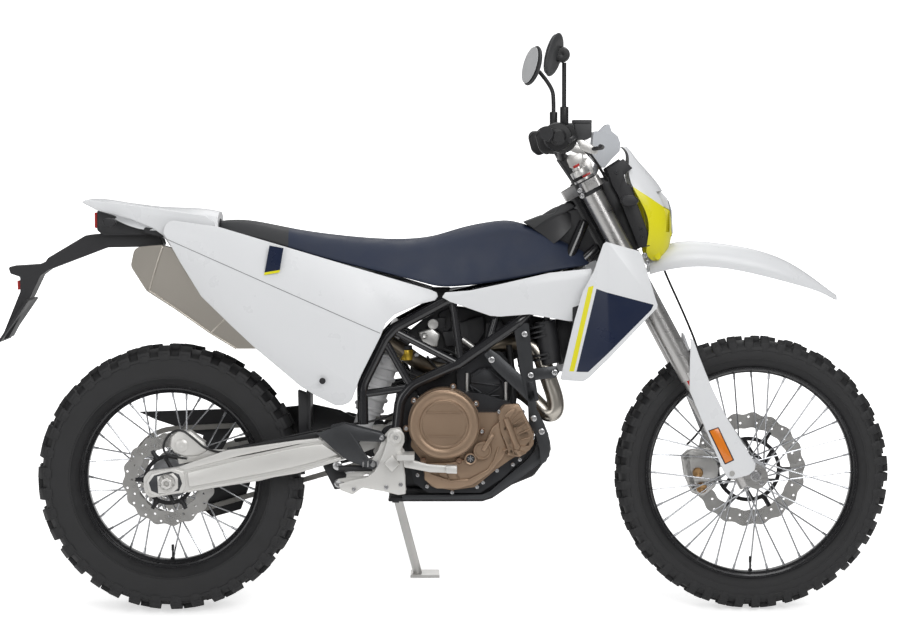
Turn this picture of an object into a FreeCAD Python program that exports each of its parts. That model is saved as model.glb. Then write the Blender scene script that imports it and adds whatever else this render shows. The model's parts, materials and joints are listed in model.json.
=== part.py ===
import FreeCAD, Part
import math
import os

from FreeCAD import Placement, Rotation, Vector

# Dual sport motorcycle, parked leaning to its left on the side stand. Every piece is drawn upright:
# X forward from the rear axle, Y to the rider's left, Z up from the ground, in millimetres.
# Each finished piece is then stood on the stand by one shared placement.

SIZES = (
    ("lean", 11, "degrees that the motorcycle leans to its left"),
    ("wheelbase", 1500, "rear axle to front axle"),
    ("rake", 28.3, "degrees of the fork from upright"),
    ("clamp_offset", 35, "fork legs ahead of the steering axis"),
    ("axle_lead", 27, "front axle ahead of the fork legs"),
    ("overrun", 12, "how far a cutting tool runs past what it cuts"),
    ("running_gap", 0.4, "clearance round a turning axle"),
    ("seam", 1.5, "clearance between covers"),
    # wheels
    ("front_radius", 355, "front tyre"),
    ("front_half", 45, "half the front tyre's width"),
    ("front_rows", 38, "rows of lugs, an even number"),
    ("rear_rows", 30, ""),
    ("lug_deep", 12, "height of a lug over the tyre's carcass"),
    ("lug_long", 26, "length of a lug along the tread"),
    ("front_crown", 44, "radius of the front tread across"),
    ("front_rim_inner", 259, ""),
    ("front_rim_outer", 275, ""),
    ("front_rim_half", 28, ""),
    ("front_hub_right", 62, "right end of the front hub"),
    ("front_flange_y", 34, "inner face of the front hub's flanges"),
    ("front_flange", 31, "radius of the front hub's spoke flange"),
    ("rear_radius", 345, "rear tyre"),
    ("rear_half", 69, "half the rear tyre's width"),
    ("rear_crown", 78, "radius of the rear tread across"),
    ("rear_rim_inner", 217, ""),
    ("rear_rim_outer", 236, ""),
    ("rear_rim_half", 36, ""),
    ("rear_flange_y", 44, "inner face of the rear hub's flanges"),
    ("rear_flange", 46, "radius of the rear hub's spoke flange"),
    ("hub_waist", 24, "radius of a hub between its flanges"),
    ("flange_thick", 7, ""),
    ("spoke_half", 1.7, "half the width of a spoke"),
    ("rim_wall", 5, ""),
    ("front_disc", 150, "radius"),
    ("front_disc_y", 58, "lateral place of the front disc"),
    ("rear_disc", 120, "radius"),
    ("rear_disc_y", -88, ""),
    ("disc_lobes", 18, "waves round a brake disc"),
    ("lobe_deep", 6, ""),
    ("disc_ring", 72, "inner edge of the braking ring, percent of the disc's radius"),
    ("disc_carrier", 58, "outer edge of the carrier, percent of the disc's radius"),
    ("disc_thick", 4.5, ""),
    ("disc_gap", 3, "a disc's rim to the bottom of its caliper's slot"),
    ("disc_bore", 18, "bore of a disc or sprocket"),
    ("front_axle_radius", 13, ""),
    ("front_axle_bore", 8, "radius of the hollow front axle"),
    ("front_axle_half", 134, ""),
    ("rear_axle_radius", 12.5, ""),
    ("rear_axle_bore", 8, "radius of the hollow rear axle"),
    ("axle_nut", 21, "radius of the rear axle's nut"),
    ("axle_nut_long", 9, ""),
    # chain drive
    ("chain_y", 95, "lateral place of the chain's middle"),
    ("chain_pitch", 15.875, ""),
    ("chain_half_tall", 7.5, "half the height of a link plate"),
    ("chain_wide", 17, ""),
    ("tooth_deep", 7, "depth of a sprocket's teeth"),
    ("rear_teeth", 45, "teeth of the rear sprocket"),
    ("link_waist", 2.5, "how much a link plate narrows between its pins"),
    ("link_waists", 48, "pins and waists round the simplified chain"),
    ("sprocket_radius", 113.8, "pitch radius of the rear sprocket"),
    ("output_radius", 38.2, "pitch radius of the engine's sprocket"),
    ("output_x", 652, "engine's output shaft"),
    ("output_z", 455, ""),
    ("sprocket_thick", 6, ""),
    ("chain_clearance", 2, "sprocket tips to the fixed chain loop"),
    # steering head
    ("lower_clamp_up", 639, "lower clamp up the fork from the axle"),
    ("clamp_spread", 219, "lower clamp to upper clamp"),
    ("clamp_thick", 26, ""),
    ("leg_y", 105, "fork leg's distance from the middle"),
    ("head_radius", 33, "head tube"),
    ("stem_radius", 17, "steering stem"),
    ("head_gap", 2, "head tube to a clamp"),
    ("upper_tube_radius", 27, "fork's upper tube"),
    ("upper_tube_low", 300, "upper tube's lower end above the axle"),
    ("upper_tube_over", 22, "upper tube above the top clamp"),
    ("slider_radius", 23.5, "fork's lower leg"),
    ("slider_low", -12, ""),
    ("lug_radius", 30, "axle lug at the foot of the leg"),
    ("lug_half", 27, "half the width of the axle lug"),
    ("clamp_pad", 13, "clamp metal round a fork tube"),
    # frame
    ("frame_back", 496, "rearmost point of the frame tubes"),
    ("frame_foot", 440, "lowest point of the frame tubes"),
    ("frame_long", 604, ""),
    ("frame_half", 118, ""),
    ("frame_tall", 610, ""),
    ("rail_radius", 14, ""),
    ("brace_radius", 10, ""),
    ("rail_bend", 60, "bend radius of the frame tubes"),
    ("pivot_x", 574, "swingarm pivot"),
    ("pivot_z", 455, ""),
    ("pivot_plate_radius", 34, ""),
    ("pivot_plate_thick", 11, ""),
    ("pivot_plate_y", 105.5, "inner face of the pivot plate"),
    ("pivot_pin_radius", 11, ""),
    ("pivot_pin_over", 7, "pivot pin past the plate"),
    # engine
    ("engine_back", 614, ""),
    ("engine_foot", 312, ""),
    ("engine_long", 318, ""),
    ("engine_tall", 263, ""),
    ("engine_right", 104, "right face of the crankcase"),
    ("engine_left", 76, "left face of the crankcase"),
    ("engine_round", 16, "corner radius of the crankcase"),
    ("cylinder_half", 61, ""),
    ("cylinder_back", 742, ""),
    ("cylinder_long", 148, ""),
    ("cylinder_tall", 150, ""),
    ("cover_back", 618, "right engine cover"),
    ("cover_foot", 322, ""),
    ("cover_long", 316, ""),
    ("cover_tall", 238, ""),
    ("cover_thick", 26, ""),
    ("pump_thick", 46, "how far the water pump cover stands out"),
    ("clutch_x", 704, ""),
    ("clutch_z", 494, ""),
    ("clutch_radius", 91, ""),
    ("clutch_inner", 61, "radius of the clutch cover's raised face"),
    ("clutch_base", 50, "how far the clutch cover's rim stands out"),
    ("clutch_ring", 76, "radius of the step between them"),
    ("clutch_step", 60, "how far that step stands out"),
    ("clutch_bar_half", 44, "half the length of the two bars across the raised face"),
    ("clutch_bar_deep", 3, ""),
    ("clutch_bar_rise", 30, ""),
    ("clutch_face", 68, "how far the clutch cover's raised face stands out"),
    ("generator_x", 770, ""),
    ("generator_z", 450, ""),
    ("generator_radius", 88, ""),
    ("generator_thick", 42, ""),
    ("sprocket_cover_thick", 9, ""),
    # swingarm
    ("arm_back", -60, ""),
    ("arm_foot", 304, ""),
    ("arm_long", 662, ""),
    ("arm_tall", 168, ""),
    ("arm_thick", 29, ""),
    ("arm_outer", 138, "outer face of the arm at the rear"),
    ("arm_inner_front", 69, "inner face of the arm at the pivot"),
    ("arm_bend_back", 400, "where the arm starts to turn in"),
    ("arm_bend_front", 545, "where the arm is fully turned in"),
    ("cross_back", 436, "swingarm's cross member"),
    ("cross_low", 412, ""),
    ("cross_long", 62, ""),
    ("cross_tall", 46, ""),
    ("chainguard_back", -98, "chain guard on the left arm"),
    ("chainguard_foot", 366, ""),
    ("chainguard_long", 282, ""),
    ("chainguard_tall", 148, ""),
    ("chainguard_thick", 4, ""),
    ("guide_back", 60, "chain guide under the left arm"),
    ("guide_foot", 224, ""),
    ("guide_long", 134, ""),
    ("guide_tall", 130, ""),
    ("pivot_boss", 25, "radius of the swingarm's pivot tube"),
    # shock absorber
    ("shock_top_x", 582, ""),
    ("shock_top_z", 722, ""),
    ("shock_low_x", 492, ""),
    ("shock_low_z", 470, ""),
    ("spring_radius", 40, ""),
    ("spring_wire", 6, ""),
    ("spring_turns", 6, ""),
    ("damper_radius", 25, ""),
    ("reservoir_radius", 23, ""),
    ("reservoir_long", 105, ""),
    # exhaust
    ("header_back", 300, ""),
    ("header_foot", 566, ""),
    ("header_long", 672, ""),
    ("header_side", 112, ""),
    ("header_tall", 104, ""),
    ("header_radius", 15, ""),
    ("header_bend", 42, ""),
    ("silencer_back", -91, ""),
    ("silencer_foot", 672, ""),
    ("silencer_long", 391, ""),
    ("silencer_tall", 275, ""),
    ("silencer_inner", 76, "lateral place of the silencer's inner face"),
    ("silencer_wide", 50, ""),
    ("silencer_round", 20, ""),
    # tank, seat and covers
    ("tank_back", -60, ""),
    ("tank_foot", 600, ""),
    ("tank_long", 750, ""),
    ("tank_tall", 400, ""),
    ("tank_half", 92, ""),
    ("tank_round", 18, ""),
    ("seat_back", 115, ""),
    ("seat_foot", 835, ""),
    ("seat_long", 970, ""),
    ("seat_tall", 180, ""),
    ("seat_half", 130, ""),
    ("side_back", -10, "side panel"),
    ("side_foot", 538, ""),
    ("side_long", 699, ""),
    ("side_tall", 472, ""),
    ("side_out", 158, "widest place of the side panel from the middle"),
    ("side_out_back", 130, "the same at the tail"),
    ("side_out_front", 140, "the same at its front point"),
    ("panel_thick", 4, ""),
    ("panel_round", 10, ""),
    ("tail_back", -217, ""),
    ("tail_foot", 975, ""),
    ("tail_long", 345, ""),
    ("tail_tall", 88, ""),
    ("tail_half", 98, ""),
    ("tank_panel_back", 699, ""),
    ("tank_panel_foot", 750, ""),
    ("tank_panel_long", 396, ""),
    ("tank_panel_tall", 141, ""),
    ("tank_panel_out", 146, ""),
    ("shroud_back", 998, ""),
    ("shroud_foot", 602, ""),
    ("shroud_long", 246, ""),
    ("shroud_tall", 356, ""),
    ("shroud_out_back", 150, ""),
    ("shroud_out", 200, ""),
    ("shroud_out_front", 188, ""),
    ("nose_back", 890, "black cover between seat and steering head"),
    ("nose_foot", 900, ""),
    ("nose_long", 140.5, ""),
    ("nose_tall", 152, ""),
    ("nose_half", 60, ""),
    ("radiator_x", 1030, ""),
    ("radiator_z", 632, ""),
    ("radiator_inner", 58, ""),
    ("radiator_wide", 82, ""),
    ("radiator_tall", 240, ""),
    ("canister_x", 980, "evaporation canister beside the cylinder"),
    ("canister_y", 80, ""),
    ("canister_z", 643, ""),
    ("canister_tall", 108, ""),
    ("canister_slope", 18, ""),
    ("canister_radius", 28, ""),
    ("canister_stay", 50, ""),
    ("canister_shift", 14, ""),
    ("panel_mount", 8, "radius of a stud that carries a panel"),
    ("radiator_thick", 32, ""),
    # below
    ("skid_back", 561, ""),
    ("skid_foot", 288, ""),
    ("skid_long", 417, ""),
    ("skid_tall", 205, ""),
    ("skid_half", 88, ""),
    ("skid_round", 6, ""),
    ("peg_back", 421, "footpeg bracket"),
    ("peg_foot", 314, ""),
    ("peg_long", 187, ""),
    ("peg_tall", 170, ""),
    ("peg_inner", 132.3, ""),
    ("peg_thick", 11, ""),
    ("peg_x", 585, "footpeg"),
    ("peg_z", 408, ""),
    ("peg_reach", 92, ""),
    ("peg_wide", 44, ""),
    ("peg_deep", 14, ""),
    ("heel_back", 416, ""),
    ("heel_foot", 377, ""),
    ("heel_long", 139, ""),
    ("heel_tall", 121, ""),
    ("heel_thick", 4, ""),
    ("lever_radius", 6, ""),
    ("lever_y", 172, ""),
    ("toe_x", 745, ""),
    ("toe_z", 384, ""),
    ("toe_long", 34, ""),
    ("gear_toe_x", 735, ""),
    ("gear_toe_z", 404, ""),
    ("gear_shaft_x", 655, ""),
    ("gear_shaft_z", 372, ""),
    # engine plates
    ("bracket_back", 880, ""),
    ("bracket_foot", 548, ""),
    ("bracket_long", 66, ""),
    ("bracket_tall", 200, ""),
    ("bracket_thick", 6, ""),
    ("bracket_y", 112, ""),
    # rear brake and guards
    ("caliper_x", 52, ""),
    ("caliper_z", 442, ""),
    ("caliper_radius", 34, ""),
    ("caliper_thick", 26, ""),
    ("hanger_long", 34, "rear caliper's hanger on the swingarm"),
    ("hanger_thick", 13, ""),
    ("guard_thick", 14, ""),
    ("flap_back", 352, ""),
    ("flap_foot", 474, ""),
    ("flap_long", 10, ""),
    ("flap_tall", 190, ""),
    ("flap_half", 78, ""),
    # plate holder and lamps
    ("plate_back", -434, ""),
    ("plate_foot", 701, ""),
    ("plate_long", 420, ""),
    ("plate_tall", 273, ""),
    ("plate_half", 46, ""),
    ("plate_board_half", 92, "half the width of the number plate board"),
    ("plate_board_tall", 128, ""),
    ("plate_board_thick", 6, ""),
    ("plate_hole", 3, "radius of a number plate hole"),
    ("plate_hole_spread", 120, ""),
    ("lamp_half", 38, ""),
    ("lamp_tall", 74, ""),
    ("lamp_thick", 20, ""),
    ("blinker_long", 46, ""),
    ("blinker_deep", 26, ""),
    ("blinker_tall", 30, ""),
    ("blinker_stalk", 7, ""),
    ("rear_blinker_y", 118, ""),
    ("front_blinker_y", 150, ""),
    # steered pieces
    ("bar_radius", 14, "handlebar at its clamp"),
    ("bar_end_radius", 11, ""),
    ("bar_half", 410, ""),
    ("bar_forward", -62, "bar clamp ahead of the top clamp's middle"),
    ("bar_up", 72, "bar clamp above the top clamp's middle"),
    ("bar_sweep", 54, "how far back the bar ends lie"),
    ("bar_rise", 56, "how far the bar ends rise"),
    ("bar_bend", 70, ""),
    ("grip_radius", 17, ""),
    ("grip_long", 122, ""),
    ("riser_y", 44, ""),
    ("riser_long", 34, ""),
    ("riser_deep", 40, ""),
    ("mirror_stem_y", 272, ""),
    ("mirror_y", 330, ""),
    ("mirror_up", 150, "mirror's middle above the bar end"),
    ("mirror_back", 0, ""),
    ("mirror_half_tall", 56, ""),
    ("mirror_half_wide", 72, ""),
    ("mirror_deep", 22, ""),
    ("stem_rod", 5, "radius of the mirror's stem"),
    ("mask_back", 1160, "headlight surround"),
    ("mask_foot", 905, ""),
    ("mask_long", 131, ""),
    ("mask_tall", 291, ""),
    ("mask_half", 104, ""),
    ("mask_thick", 4, ""),
    ("lamp_face_half", 78, ""),
    ("lamp_face_low", 978, ""),
    ("lamp_face_tall", 104, ""),
    ("lamp_body_x", 1206, ""),
    ("lamp_body_long", 76, ""),
    ("screen_back", 1082, ""),
    ("screen_foot", 1139, ""),
    ("screen_long", 74, ""),
    ("screen_tall", 120, ""),
    ("screen_half", 56, ""),
    ("fender_back", 1232, "front mudguard"),
    ("fender_foot", 800, ""),
    ("fender_long", 486, ""),
    ("fender_tall", 150, ""),
    ("fender_half", 66, ""),
    ("fender_thick", 4, ""),
    ("fender_mount_long", 118, ""),
    ("fender_mount_wide", 64, ""),
    ("fender_mount_thick", 16, ""),
    ("guard_low", 16, "fork guard above the axle"),
    ("guard_tall", 324, ""),
    ("guard_half", 30, ""),
    ("guard_gap", 2, ""),
    ("brake_low", -92, "front caliper along the fork from the axle"),
    ("brake_long", 128, ""),
    ("brake_deep", 58, ""),
    ("brake_wide", 48, ""),
    ("brake_inner", 36, "inner face of the front caliper"),
    ("holder_up", 44, "caliper bracket on the left leg"),
    ("holder_y", 68, ""),
    ("holder_long", 102, ""),
    ("holder_wide", 24, ""),
    ("holder_tall", 34, ""),
    # side stand
    ("stand_x", 577, "side stand's pivot"),
    ("stand_y", 126, ""),
    ("stand_z", 290, ""),
    ("stand_cant", 28, "degrees that the pivot axis dips outward"),
    ("stand_rake", 12, "degrees that the stand slopes forward"),
    ("stand_leg", 12, "radius of the stand's leg"),
    ("stand_eye", 18, "radius of the stand's eye"),
    ("stand_eye_half", 12.5, ""),
    ("stand_foot_long", 78, ""),
    ("stand_foot_wide", 46, ""),
    ("stand_foot_thick", 8, ""),
    ("stand_foot_lead", 20, "foot plate's middle ahead of the leg"),
    ("stand_gap", 0.5, "stand's eye to its boss on the frame"),
    ("stand_boss", 16, ""),
    ("stand_boss_long", 17, ""),
    ("stay_back", 568, "joggled plate that carries the stand's boss"),
    ("stay_long", 18, ""),
    ("stay_inner", 89.5, "its inner face behind the stand's eye"),
    ("stay_wide", 26, "out to its outer face beside the chain"),
    ("stay_foot", 263, ""),
    ("stay_tall", 206, ""),
    ("stay_round", 3, ""),
)

doc = FreeCAD.newDocument("DualSportMotorcycle")
sheet = doc.addObject("Spreadsheet::Sheet", "Sizes")
for row, (alias, value, note) in enumerate(SIZES, start=1):
    sheet.set(f"A{row}", alias)
    sheet.set(f"B{row}", str(value))
    sheet.set(f"C{row}", note)
    sheet.setAlias(f"B{row}", alias)
doc.recompute()
VALUES = {alias: float(sheet.get(alias)) for alias, value, note in SIZES}


# Helpers: sizes and points

def size(*aliases):
    """Sum of named sizes; a name that starts with a minus sign is taken away."""
    return sum(-VALUES[a[1:]] if a.startswith("-") else VALUES[a] for a in aliases)


def bind(thing, prop, *aliases):
    """Ties one property of an object to a sum of named sizes."""
    terms = [("-Sizes." + a[1:]) if a.startswith("-") else ("+Sizes." + a) for a in aliases]
    thing.setExpression(prop, "".join(terms).lstrip("+"))


def flat(shares, start, span):
    """Points of a plane outline, from shares of a named box."""
    return [Vector(start[0] + sx * span[0], start[1] + sy * span[1]) for sx, sy in shares]


def spatial(shares, start, span, side=1):
    """Points in space, from shares of a named box; side is 1 for left and -1 for right."""
    return [Vector(start[0] + sx * span[0], side * sy * span[1], start[1] + sz * span[2])
            for sx, sy, sz in shares]


def box_of(name):
    """Start and span of the box that an outline's shares follow."""
    return ((size(name + "_back"), size(name + "_foot")), (size(name + "_long"), size(name + "_tall")))


def rounded(points, radius):
    """Closed outline through the points, with each corner rounded as far as its sides allow."""
    stops = []
    for index, here in enumerate(points):
        back = points[index - 1] - here
        ahead = points[(index + 1) % len(points)] - here
        turn = math.pi - back.getAngle(ahead)
        half_tangent = math.tan(turn / 2)
        reach = min(radius * half_tangent, 0.45 * min(back.Length, ahead.Length))
        back.normalize()
        ahead.normalize()
        if turn < 0.05 or reach < 0.01 * radius:
            stops.append((here, here, here))
            continue
        arc = reach / half_tangent
        inward = (back + ahead).normalize()
        middle = here + inward * (arc / math.cos(turn / 2) - arc)
        stops.append((here + back * reach, middle, here + ahead * reach))
    edges = []
    for index, (first, middle, last) in enumerate(stops):
        if (last - first).Length > 0:
            edges.append(Part.ArcOfCircle(first, middle, last))
        edges.append(Part.LineSegment(last, stops[(index + 1) % len(stops)][0]))
    return edges


def loop(*pieces):
    """Closed outline of curves, each given by its points: two make a line, more a smooth curve."""
    edges = []
    for points in pieces:
        if len(points) == 2:
            edges.append(Part.LineSegment(points[0], points[1]))
        else:
            curve = Part.BSplineCurve()
            curve.interpolate(points)
            edges.append(curve)
    return edges


def circle(radius, x=0, y=0):
    return [Part.Circle(Vector(x, y), Vector(0, 0, 1), radius)]


# Helpers: features

def sketch(body, role, edges, offset=()):
    plane = [item for item in body.Origin.OriginFeatures if item.Role == role][0]
    drawing = body.newObject("Sketcher::SketchObject", body.Name + "Sketch")
    drawing.AttachmentSupport = (plane, "")
    drawing.MapMode = "FlatFace"
    for edge in edges:
        drawing.addGeometry(edge, False)
    if isinstance(offset, tuple):
        if offset:
            bind(drawing, "AttachmentOffset.Base.z", *offset)
    else:
        drawing.AttachmentOffset = Placement(Vector(0, 0, offset), Rotation())
    return drawing


def pad(name, edges, length, start=(), role="XZ_Plane"):
    """A pad; on XZ it starts at a lateral place on the right side and runs outward to the right."""
    body = doc.addObject("PartDesign::Body", name)
    drawing = sketch(body, role, edges, start)
    feature = body.newObject("PartDesign::Pad", name + "Pad")
    feature.Profile = drawing
    if isinstance(length, tuple):
        bind(feature, "Length", *length)
    else:
        feature.Length = length
    return body


def revolved(name, edges):
    """A body turned about its own Y axis; its sketch has Y across and the radius up."""
    body = doc.addObject("PartDesign::Body", name)
    drawing = sketch(body, "YZ_Plane", edges)
    feature = body.newObject("PartDesign::Revolution", name + "Turn")
    feature.Profile = drawing
    feature.ReferenceAxis = (drawing, ["H_Axis"])
    feature.Angle = 360
    return body


def lofted(name, role, stations, ruled=False):
    """A loft through sketches; a station is its offset along the plane's normal and its edges."""
    body = doc.addObject("PartDesign::Body", name)
    drawings = [sketch(body, role, edges, offset) for offset, edges in stations]
    feature = body.newObject("PartDesign::AdditiveLoft", name + "Loft")
    feature.Profile = drawings[0]
    feature.Sections = drawings[1:]
    feature.Ruled = ruled
    return body


def toward(direction):
    return Rotation(Vector(0, 0, 1), direction)


def rod(name, radius, start, end):
    """A round bar of a named radius between two points."""
    bar = doc.addObject("Part::Cylinder", name)
    bind(bar, "Radius", radius)
    bar.Height = (end - start).Length
    bar.Placement = Placement(start, toward(end - start))
    return bar


def across(name, radius, x, z, first, last):
    """A round bar that runs from side to side."""
    return rod(name, radius, Vector(x, first, z), Vector(x, last, z))


def block(name, corner, spans):
    """A box with named spans; corner is its lowest corner."""
    item = doc.addObject("Part::Box", name)
    bind(item, "Length", *spans[0])
    bind(item, "Width", *spans[1])
    bind(item, "Height", *spans[2])
    item.Placement = Placement(corner, Rotation())
    return item


def route(points, bend):
    """Straight runs joined by tangent arcs."""
    edges = []
    start = points[0]
    for index in range(1, len(points) - 1):
        here = points[index]
        back = points[index - 1] - here
        ahead = points[index + 1] - here
        turn = math.pi - back.getAngle(ahead)
        half_tangent = math.tan(turn / 2)
        reach = min(bend * half_tangent, 0.45 * min(back.Length, ahead.Length))
        back.normalize()
        ahead.normalize()
        if turn < 0.02:
            continue
        arc = reach / half_tangent
        middle = here + (back + ahead).normalize() * (arc / math.cos(turn / 2) - arc)
        first = here + back * reach
        last = here + ahead * reach
        edges.append(Part.LineSegment(start, first).toShape())
        edges.append(Part.Arc(first, middle, last).toShape())
        start = last
    edges.append(Part.LineSegment(start, points[-1]).toShape())
    return Part.Wire(edges)


def tube(name, points, radius, bend):
    """A bent bar, swept along its route."""
    path = route(points, bend)
    ring = Part.Wire(Part.Circle(points[0], points[1] - points[0], radius).toShape())
    item = doc.addObject("Part::Feature", name)
    item.Shape = path.makePipeShell([ring], True, False)
    return item


def fused(name, *things):
    item = doc.addObject("Part::MultiFuse", name)
    item.Shapes = list(things)
    item.Refine = True
    return item


def minus(name, base, *tools):
    """The base with each tool cut away."""
    for index, tool in enumerate(tools):
        item = doc.addObject("Part::Cut", f"{name}{index}")
        item.Base = base
        item.Tool = tool
        base = item
    return base


def both(name, first, second):
    """What two solids have in common, as a panel cut to its outline from a curved sheet."""
    item = doc.addObject("Part::Common", name)
    item.Base = first
    item.Tool = second
    return item


def flipped(name, thing):
    """The same piece on the other side of the motorcycle."""
    item = doc.addObject("Part::Mirroring", name)
    item.Source = thing
    item.Base = Vector(0, 0, 0)
    item.Normal = Vector(0, 1, 0)
    return item


def group(name, *things):
    item = doc.addObject("Part::Compound", name)
    item.Links = list(things)
    return item


def seat_at(thing, place):
    thing.Placement = place.multiply(thing.Placement)
    return thing


NODES = {}


def piece(node, thing):
    """Names a finished piece; the last lines of this file stand it on the side stand."""
    stood = doc.addObject("Part::Compound", "Stood")
    stood.Links = [thing]
    stood.Label = node
    NODES[node] = stood
    return thing


# Places that the pieces share

rake = math.radians(size("rake"))
UP_FORK = Vector(-math.sin(rake), 0, math.cos(rake))
AHEAD_FORK = Vector(math.cos(rake), 0, math.sin(rake))
REAR_AXLE = Vector(0, 0, size("rear_radius"))
FRONT_AXLE = Vector(size("wheelbase"), 0, size("front_radius"))
FORK = Placement(FRONT_AXLE, Rotation(Vector(0, 1, 0), -size("rake")))


def on_fork(up, lateral=0, ahead=0):
    """A point measured up the fork from the axle, across, and ahead of the fork legs."""
    return (FRONT_AXLE + UP_FORK * up + AHEAD_FORK * (ahead - size("axle_lead"))
            + Vector(0, lateral, 0))


def on_head(up, ahead=0):
    """A point on the steering axis, measured up the fork from the axle."""
    return on_fork(up, 0, ahead - size("clamp_offset"))


TOP_CLAMP_UP = size("lower_clamp_up", "clamp_spread")
TOP = on_fork(TOP_CLAMP_UP)
PIVOT = Vector(size("pivot_x"), 0, size("pivot_z"))


# Wheels

TYRE_SHARES = ((-0.56, 0), (-1, 0.5), (-0.9, 1), (-0.5, 1), (0.5, 1), (0.9, 1), (1, 0.5), (0.56, 0))
SHOULDER_LUG_SHARES = ((0.55, -0.4), (0.85, -1.6), (1.05, -0.5), (0.93, 1), (0.6, 1))
CENTRE_LUG_SHARES = ((-0.26, -1.2), (0.26, -1.2), (0.26, 1), (-0.26, 1))


def origin_part(body, role):
    return [item for item in body.Origin.OriginFeatures if item.Role == role][0]


def polygon(corners):
    return loop(*[list(pair) for pair in zip(corners, corners[1:] + corners[:1])])


def lugs(body, name, outlines, rows, lead):
    """Lugs padded across the tread, lead degrees round from the top, and patterned in rows."""
    edges = []
    for corners in outlines:
        edges += polygon(corners)
    drawing = sketch(body, "YZ_Plane", edges)
    drawing.AttachmentOffset = Placement(Vector(0, 0, 0), Rotation(Vector(1, 0, 0), lead))
    feature = body.newObject("PartDesign::Pad", name)
    feature.Profile = drawing
    bind(feature, "Length", "lug_long")
    feature.Midplane = True
    feature.Refine = False
    pattern = body.newObject("PartDesign::PolarPattern", name + "Rows")
    pattern.Originals = [feature]
    pattern.Axis = (origin_part(body, "Y_Axis"), [""])
    pattern.Angle = 360
    pattern.Occurrences = rows
    pattern.Refine = False
    body.Tip = pattern


def faceted_ring(name, rings):
    """A ring of flat facets; its rings of corners are joined in turn, and the last to the first."""
    faces = []
    for first, last in zip(rings, rings[1:] + rings[:1]):
        for index, corner in enumerate(first):
            beside = (index + 1) % len(first)
            faces.append(Part.Face(Part.makePolygon([corner, first[beside], last[beside],
                                                     last[index], corner])))
    item = doc.addObject("Part::Feature", name)
    item.Shape = Part.makeSolid(Part.makeShell(faces))
    return item


def tyre(name, radius, half, crown, seat, rows):
    """Tyre: a carcass with one facet for each row of lugs, then the lugs out to its full size."""
    lug = size("lug_deep")
    turns = [(step + 0.5) * 2 * math.pi / rows for step in range(rows)]

    def carcass(y):
        reach = min(abs(y), half * 0.9, crown)
        return radius - lug - crown + math.sqrt(crown ** 2 - reach ** 2)

    def ring(y, reach):
        return [Vector(reach * math.sin(turn), y, reach * math.cos(turn)) for turn in turns]

    bead = seat / math.cos(math.pi / rows)
    rings = [ring(half * TYRE_SHARES[-1][0], bead), ring(half * TYRE_SHARES[0][0], bead)]
    low = seat + size("rim_wall")
    for across_share, up_share in TYRE_SHARES:
        y = half * across_share
        rings.append(ring(y, low + (carcass(y) - low) * up_share))
    body = doc.addObject("PartDesign::Body", name)
    body.BaseFeature = faceted_ring(name + "Carcass", rings)

    def lug_outline(shares, side):
        return [Vector(side * half * across_share, carcass(half * across_share) + lug * up_share)
                for across_share, up_share in shares]

    lugs(body, name + "Shoulder", [lug_outline(SHOULDER_LUG_SHARES, side) for side in (-1, 1)],
         rows, 0)
    lugs(body, name + "Centre", [lug_outline(CENTRE_LUG_SHARES, 1)], rows // 2, 360 / rows)
    return body


def laced_wheel(name, rim_inner, rim_outer, rim_half, hub_ends, flange_y, flange, axle,
                spoke_count):
    """Rim, spokes laced in crossing pairs, and hub, as one wheel."""
    wall = size("rim_wall")
    well = rim_half * 0.45
    rim = revolved(name + "Rim", loop(
        [Vector(-rim_half, rim_outer), Vector(-rim_half, rim_outer - wall)],
        [Vector(-rim_half, rim_outer - wall), Vector(-well, rim_inner)],
        [Vector(-well, rim_inner), Vector(well, rim_inner)],
        [Vector(well, rim_inner), Vector(rim_half, rim_outer - wall)],
        [Vector(rim_half, rim_outer - wall), Vector(rim_half, rim_outer)],
        [Vector(rim_half, rim_outer), Vector(-rim_half, rim_outer)]))
    bore = axle + size("running_gap")
    thick = size("flange_thick")
    waist = size("hub_waist")
    hub = revolved(name + "Hub", rounded([
        Vector(hub_ends[0], bore), Vector(hub_ends[1], bore), Vector(hub_ends[1], waist),
        Vector(flange_y + thick, waist), Vector(flange_y + thick, flange), Vector(flange_y, flange),
        Vector(flange_y - thick, waist), Vector(thick - flange_y, waist),
        Vector(-flange_y, flange), Vector(-flange_y - thick, flange),
        Vector(-flange_y - thick, waist), Vector(hub_ends[0], waist)], wall * 0.4))
    half = size("spoke_half")
    spokes = []
    for index in range(spoke_count):
        side = 1 if index % 2 else -1
        lead = 1 if (index // 2) % 2 else -1
        rim_angle = 2 * math.pi * index / spoke_count
        hub_angle = rim_angle + lead * math.radians(62)
        hub_reach = flange - wall
        start = Vector(hub_reach * math.cos(hub_angle), side * (flange_y + thick / 2),
                       hub_reach * math.sin(hub_angle))
        rim_reach = rim_inner + wall
        end = Vector(rim_reach * math.cos(rim_angle), side * well * 0.3,
                     rim_reach * math.sin(rim_angle))
        bar = doc.addObject("Part::Box", f"{name}Spoke")
        bind(bar, "Length", "spoke_half", "spoke_half")
        bind(bar, "Width", "spoke_half", "spoke_half")
        bar.Height = (end - start).Length
        turned = toward(end - start)
        bar.Placement = Placement(start - turned.multVec(Vector(half, half, 0)), turned)
        spokes.append(bar)
    return fused(name, rim, hub, *spokes)


WAVE_SHARES = (0, 0.75, 1, 0.75)
TOOTH_SHARES = (0, 1, 1)


def lobed(radius, lobes, shares, deep):
    """A closed outline of lobes, as a wavy disc's edge or a sprocket's teeth."""
    steps = lobes * len(shares)
    return polygon([Vector(math.cos(turn), math.sin(turn)) * (radius - deep * (1 - share))
                    for turn, share in [(2 * math.pi * step / steps, shares[step % len(shares)])
                                        for step in range(steps)]])


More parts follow.
